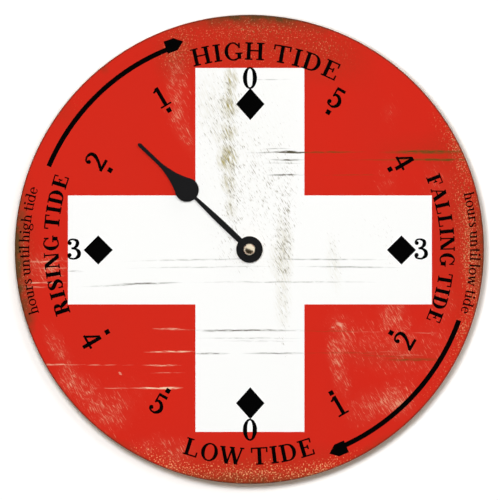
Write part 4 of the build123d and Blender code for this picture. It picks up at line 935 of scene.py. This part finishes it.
# Hand: a spade blade stamped from aluminium and lacquered black, riveted to a turned collet.
# It turns once from one high tide to the next.

# Black lacquer: an even satin charcoal with faint orange peel; the peel is drawn 0.9 mm wide.
black_lacquer = grained("satin_black_lacquer", "#171718", "#1A1A1B", 0.7, 0.9, 0.006, 1.5, specular=0.12)
dress(black_lacquer, "hand_blade")


# Cap nut: a dome turned from brass and polished on the lathe.
# It screws on the end of the arbor and holds the hand down on it.

# Polished brass mirrors the studio: cream where it meets the light, brown where it meets the dark.
polished_brass = turned("polished_brass", "#FAEFD6", "#EEDFC0", 0.25)
dress(polished_brass, "cap_nut")


# Stage: a white wall that the clock hangs on, soft lamps from the front and above, and the camera.
# The wall shows from the front only, fades into the white room around it, and is open to mirrors.

WALL_HALF = 3.0
WALL_PLACE = 0.5 * MM
# What the wall adds of its own to be white, and the distances in mm at which it fades.
WALL_GLOW = 0.1
FADE_FROM = 280.0
FADE_TO = 480.0


def backdrop(name, *corners):
    """Sheet of the studio with these corners."""
    data = bpy.data.meshes.new(name)
    data.from_pydata(corners, [], [tuple(range(len(corners)))])
    sheet = new_object(name, data)
    return sheet


def in_sight(tree):
    """Light path node, and 1 for what the eye meets, straight or in metal or glass."""
    ray = add(tree, "LightPath")
    mirrored = ray.outputs["Is Glossy Ray"]
    seen = add(tree, "Math", (ray.outputs["Is Camera Ray"], mirrored), operation="MAXIMUM")
    seen = add(tree, "Math", (seen, ray.outputs["Is Transmission Ray"]), operation="MAXIMUM")
    return ray, seen


# White wall paint: it shows white to the eye and keeps the shadow of the clock.
wall = backdrop(
    "wall", (-WALL_HALF, WALL_PLACE, -WALL_HALF), (WALL_HALF, WALL_PLACE, -WALL_HALF),
    (WALL_HALF, WALL_PLACE, WALL_HALF), (-WALL_HALF, WALL_PLACE, WALL_HALF),
)
white_paint, tree, place = start_material("white_wall_paint")
ray, seen = in_sight(tree)
lift = add(tree, "Math", (seen, WALL_GLOW), operation="MULTIPLY")
paint = add(tree, "BsdfDiffuse", {"Color": "#FFFFFF"})
glow = add(tree, "Emission", {"Color": "#FFFFFF", "Strength": lift})
front = add(tree, "AddShader", (paint, glow))
from_clock = add(tree, "VectorMath", (place,), operation="LENGTH")
fade = add(tree, "MapRange", (from_clock, FADE_FROM, FADE_TO))
open_way = add(tree, "NewGeometry").outputs["Backfacing"]
for way in (ray.outputs["Is Shadow Ray"], ray.outputs["Is Glossy Ray"], fade):
    open_way = add(tree, "Math", (open_way, way), operation="MAXIMUM")
clear = add(tree, "BsdfTransparent")
sides = add(tree, "MixShader", (open_way, front, clear))
add(tree, "OutputMaterial", {"Surface": sides})
wall.data.materials.append(white_paint)

# Dark brown cloth in front, higher on the left, down to the foot of the wall, which glows a dim light of its
# own: painted dim light.
# It is there for the metal to mirror, and nothing else meets it. Its folds are about 0.9 m wide.
CLOTH_HALF = 16.0
CLOTH_LINE = -2.9
CLOTH_LEFT = 6.5
CLOTH_RIGHT = -6.3
FOLD = 900.0
cloth = backdrop(
    "studio_cloth", (-CLOTH_HALF, 0, -CLOTH_HALF), (CLOTH_HALF, 0, -CLOTH_HALF),
    (CLOTH_HALF, CLOTH_LINE, CLOTH_RIGHT), (-CLOTH_HALF, CLOTH_LINE, CLOTH_LEFT),
)
cloth.visible_camera = False
cloth.visible_diffuse = False
cloth.visible_shadow = False
brown_cloth, tree, place = start_material("glowing_brown_cloth")
folds = add(tree, "TexNoise", (place, 1 / FOLD, 2.0))
shade = add(tree, "Mix", (folds, "#1E170E", "#40352A"), data_type="RGBA")
# Painted dim light: the cloth glows this dim brown by itself, with no lamp on it.
painted_dim_glow = add(tree, "Emission", {"Color": shade, "Strength": 1.0})
add(tree, "OutputMaterial", {"Surface": painted_dim_glow})
cloth.data.materials.append(brown_cloth)

# Studio: white to the eye, and to the rest a dim room with a soft light above on the right. The edge and
# the heart of that light are cosines of the angle from its middle.
SOFT_LIGHT = Vector((0.55, -0.33, 0.75)).normalized()
SOFT_EDGE = 0.7
SOFT_HEART = 0.97
DIM = 0.06
BRIGHT = 0.4
studio = bpy.data.worlds.new("studio")
bpy.context.scene.world = studio
studio.use_nodes = True
tree = studio.node_tree
tree.nodes.clear()
heading = add(tree, "TexCoord").outputs["Generated"]
towards = add(tree, "VectorMath", (heading, SOFT_LIGHT), operation="DOT_PRODUCT")
room = add(tree, "MapRange", (towards, SOFT_EDGE, SOFT_HEART, DIM, BRIGHT))
strength = add(tree, "Mix", (in_sight(tree)[1], room, 1.0))
sky = add(tree, "Background", {"Color": "#FFFFFF", "Strength": strength})
add(tree, "OutputWorld", {"Surface": sky})


def lamp(name, place, size, share):
    """Round soft lamp aimed at the dial, that gives a white board facing it this share of its light."""
    light = bpy.data.lights.new(name, "AREA")
    light.shape = "DISK"
    light.size = size
    light.energy = share * pi ** 2 * Vector(place).length_squared
    holder = new_object(name, light)
    holder.location = place
    holder.rotation_euler = Vector(place).to_track_quat("Z", "Y").to_euler()
    holder.visible_camera = False
    return holder


# The key lamp from the upper left, a fill lamp from the upper right, and one behind for the other side.
key = lamp("key_lamp", (-0.066, -1.5, 0.082), 0.2, 0.73)
fill = lamp("fill_lamp", (0.19, -1.5, 0.2), 0.25, 0.17)
for soft in (key, fill):
    soft.visible_glossy = False
lamp("rear_lamp", (0.7, 1.9, 0.9), 1.2, 0.6)

# Camera straight in front, with a long lens, as the photograph was taken. The board's width is given in
# dots of the picture, and the camera stands a little off the axis, in mm.
PICTURE = 500
BOARD_IN_PICTURE = 469.3
CAMERA_AWAY = 4.0
OFF_MIDDLE = 0.34
camera_data = bpy.data.cameras.new("camera")
frame_width = 2 * RADIUS * MM * PICTURE / BOARD_IN_PICTURE
camera_data.lens = camera_data.sensor_width * CAMERA_AWAY / frame_width
camera = new_object("camera", camera_data)
camera.location = (OFF_MIDDLE * MM, -FRONT * MM - CAMERA_AWAY, -OFF_MIDDLE * MM)
camera.rotation_euler = (pi / 2, 0, 0)
bpy.context.scene.camera = camera
bpy.context.scene.view_settings.view_transform = "Standard"
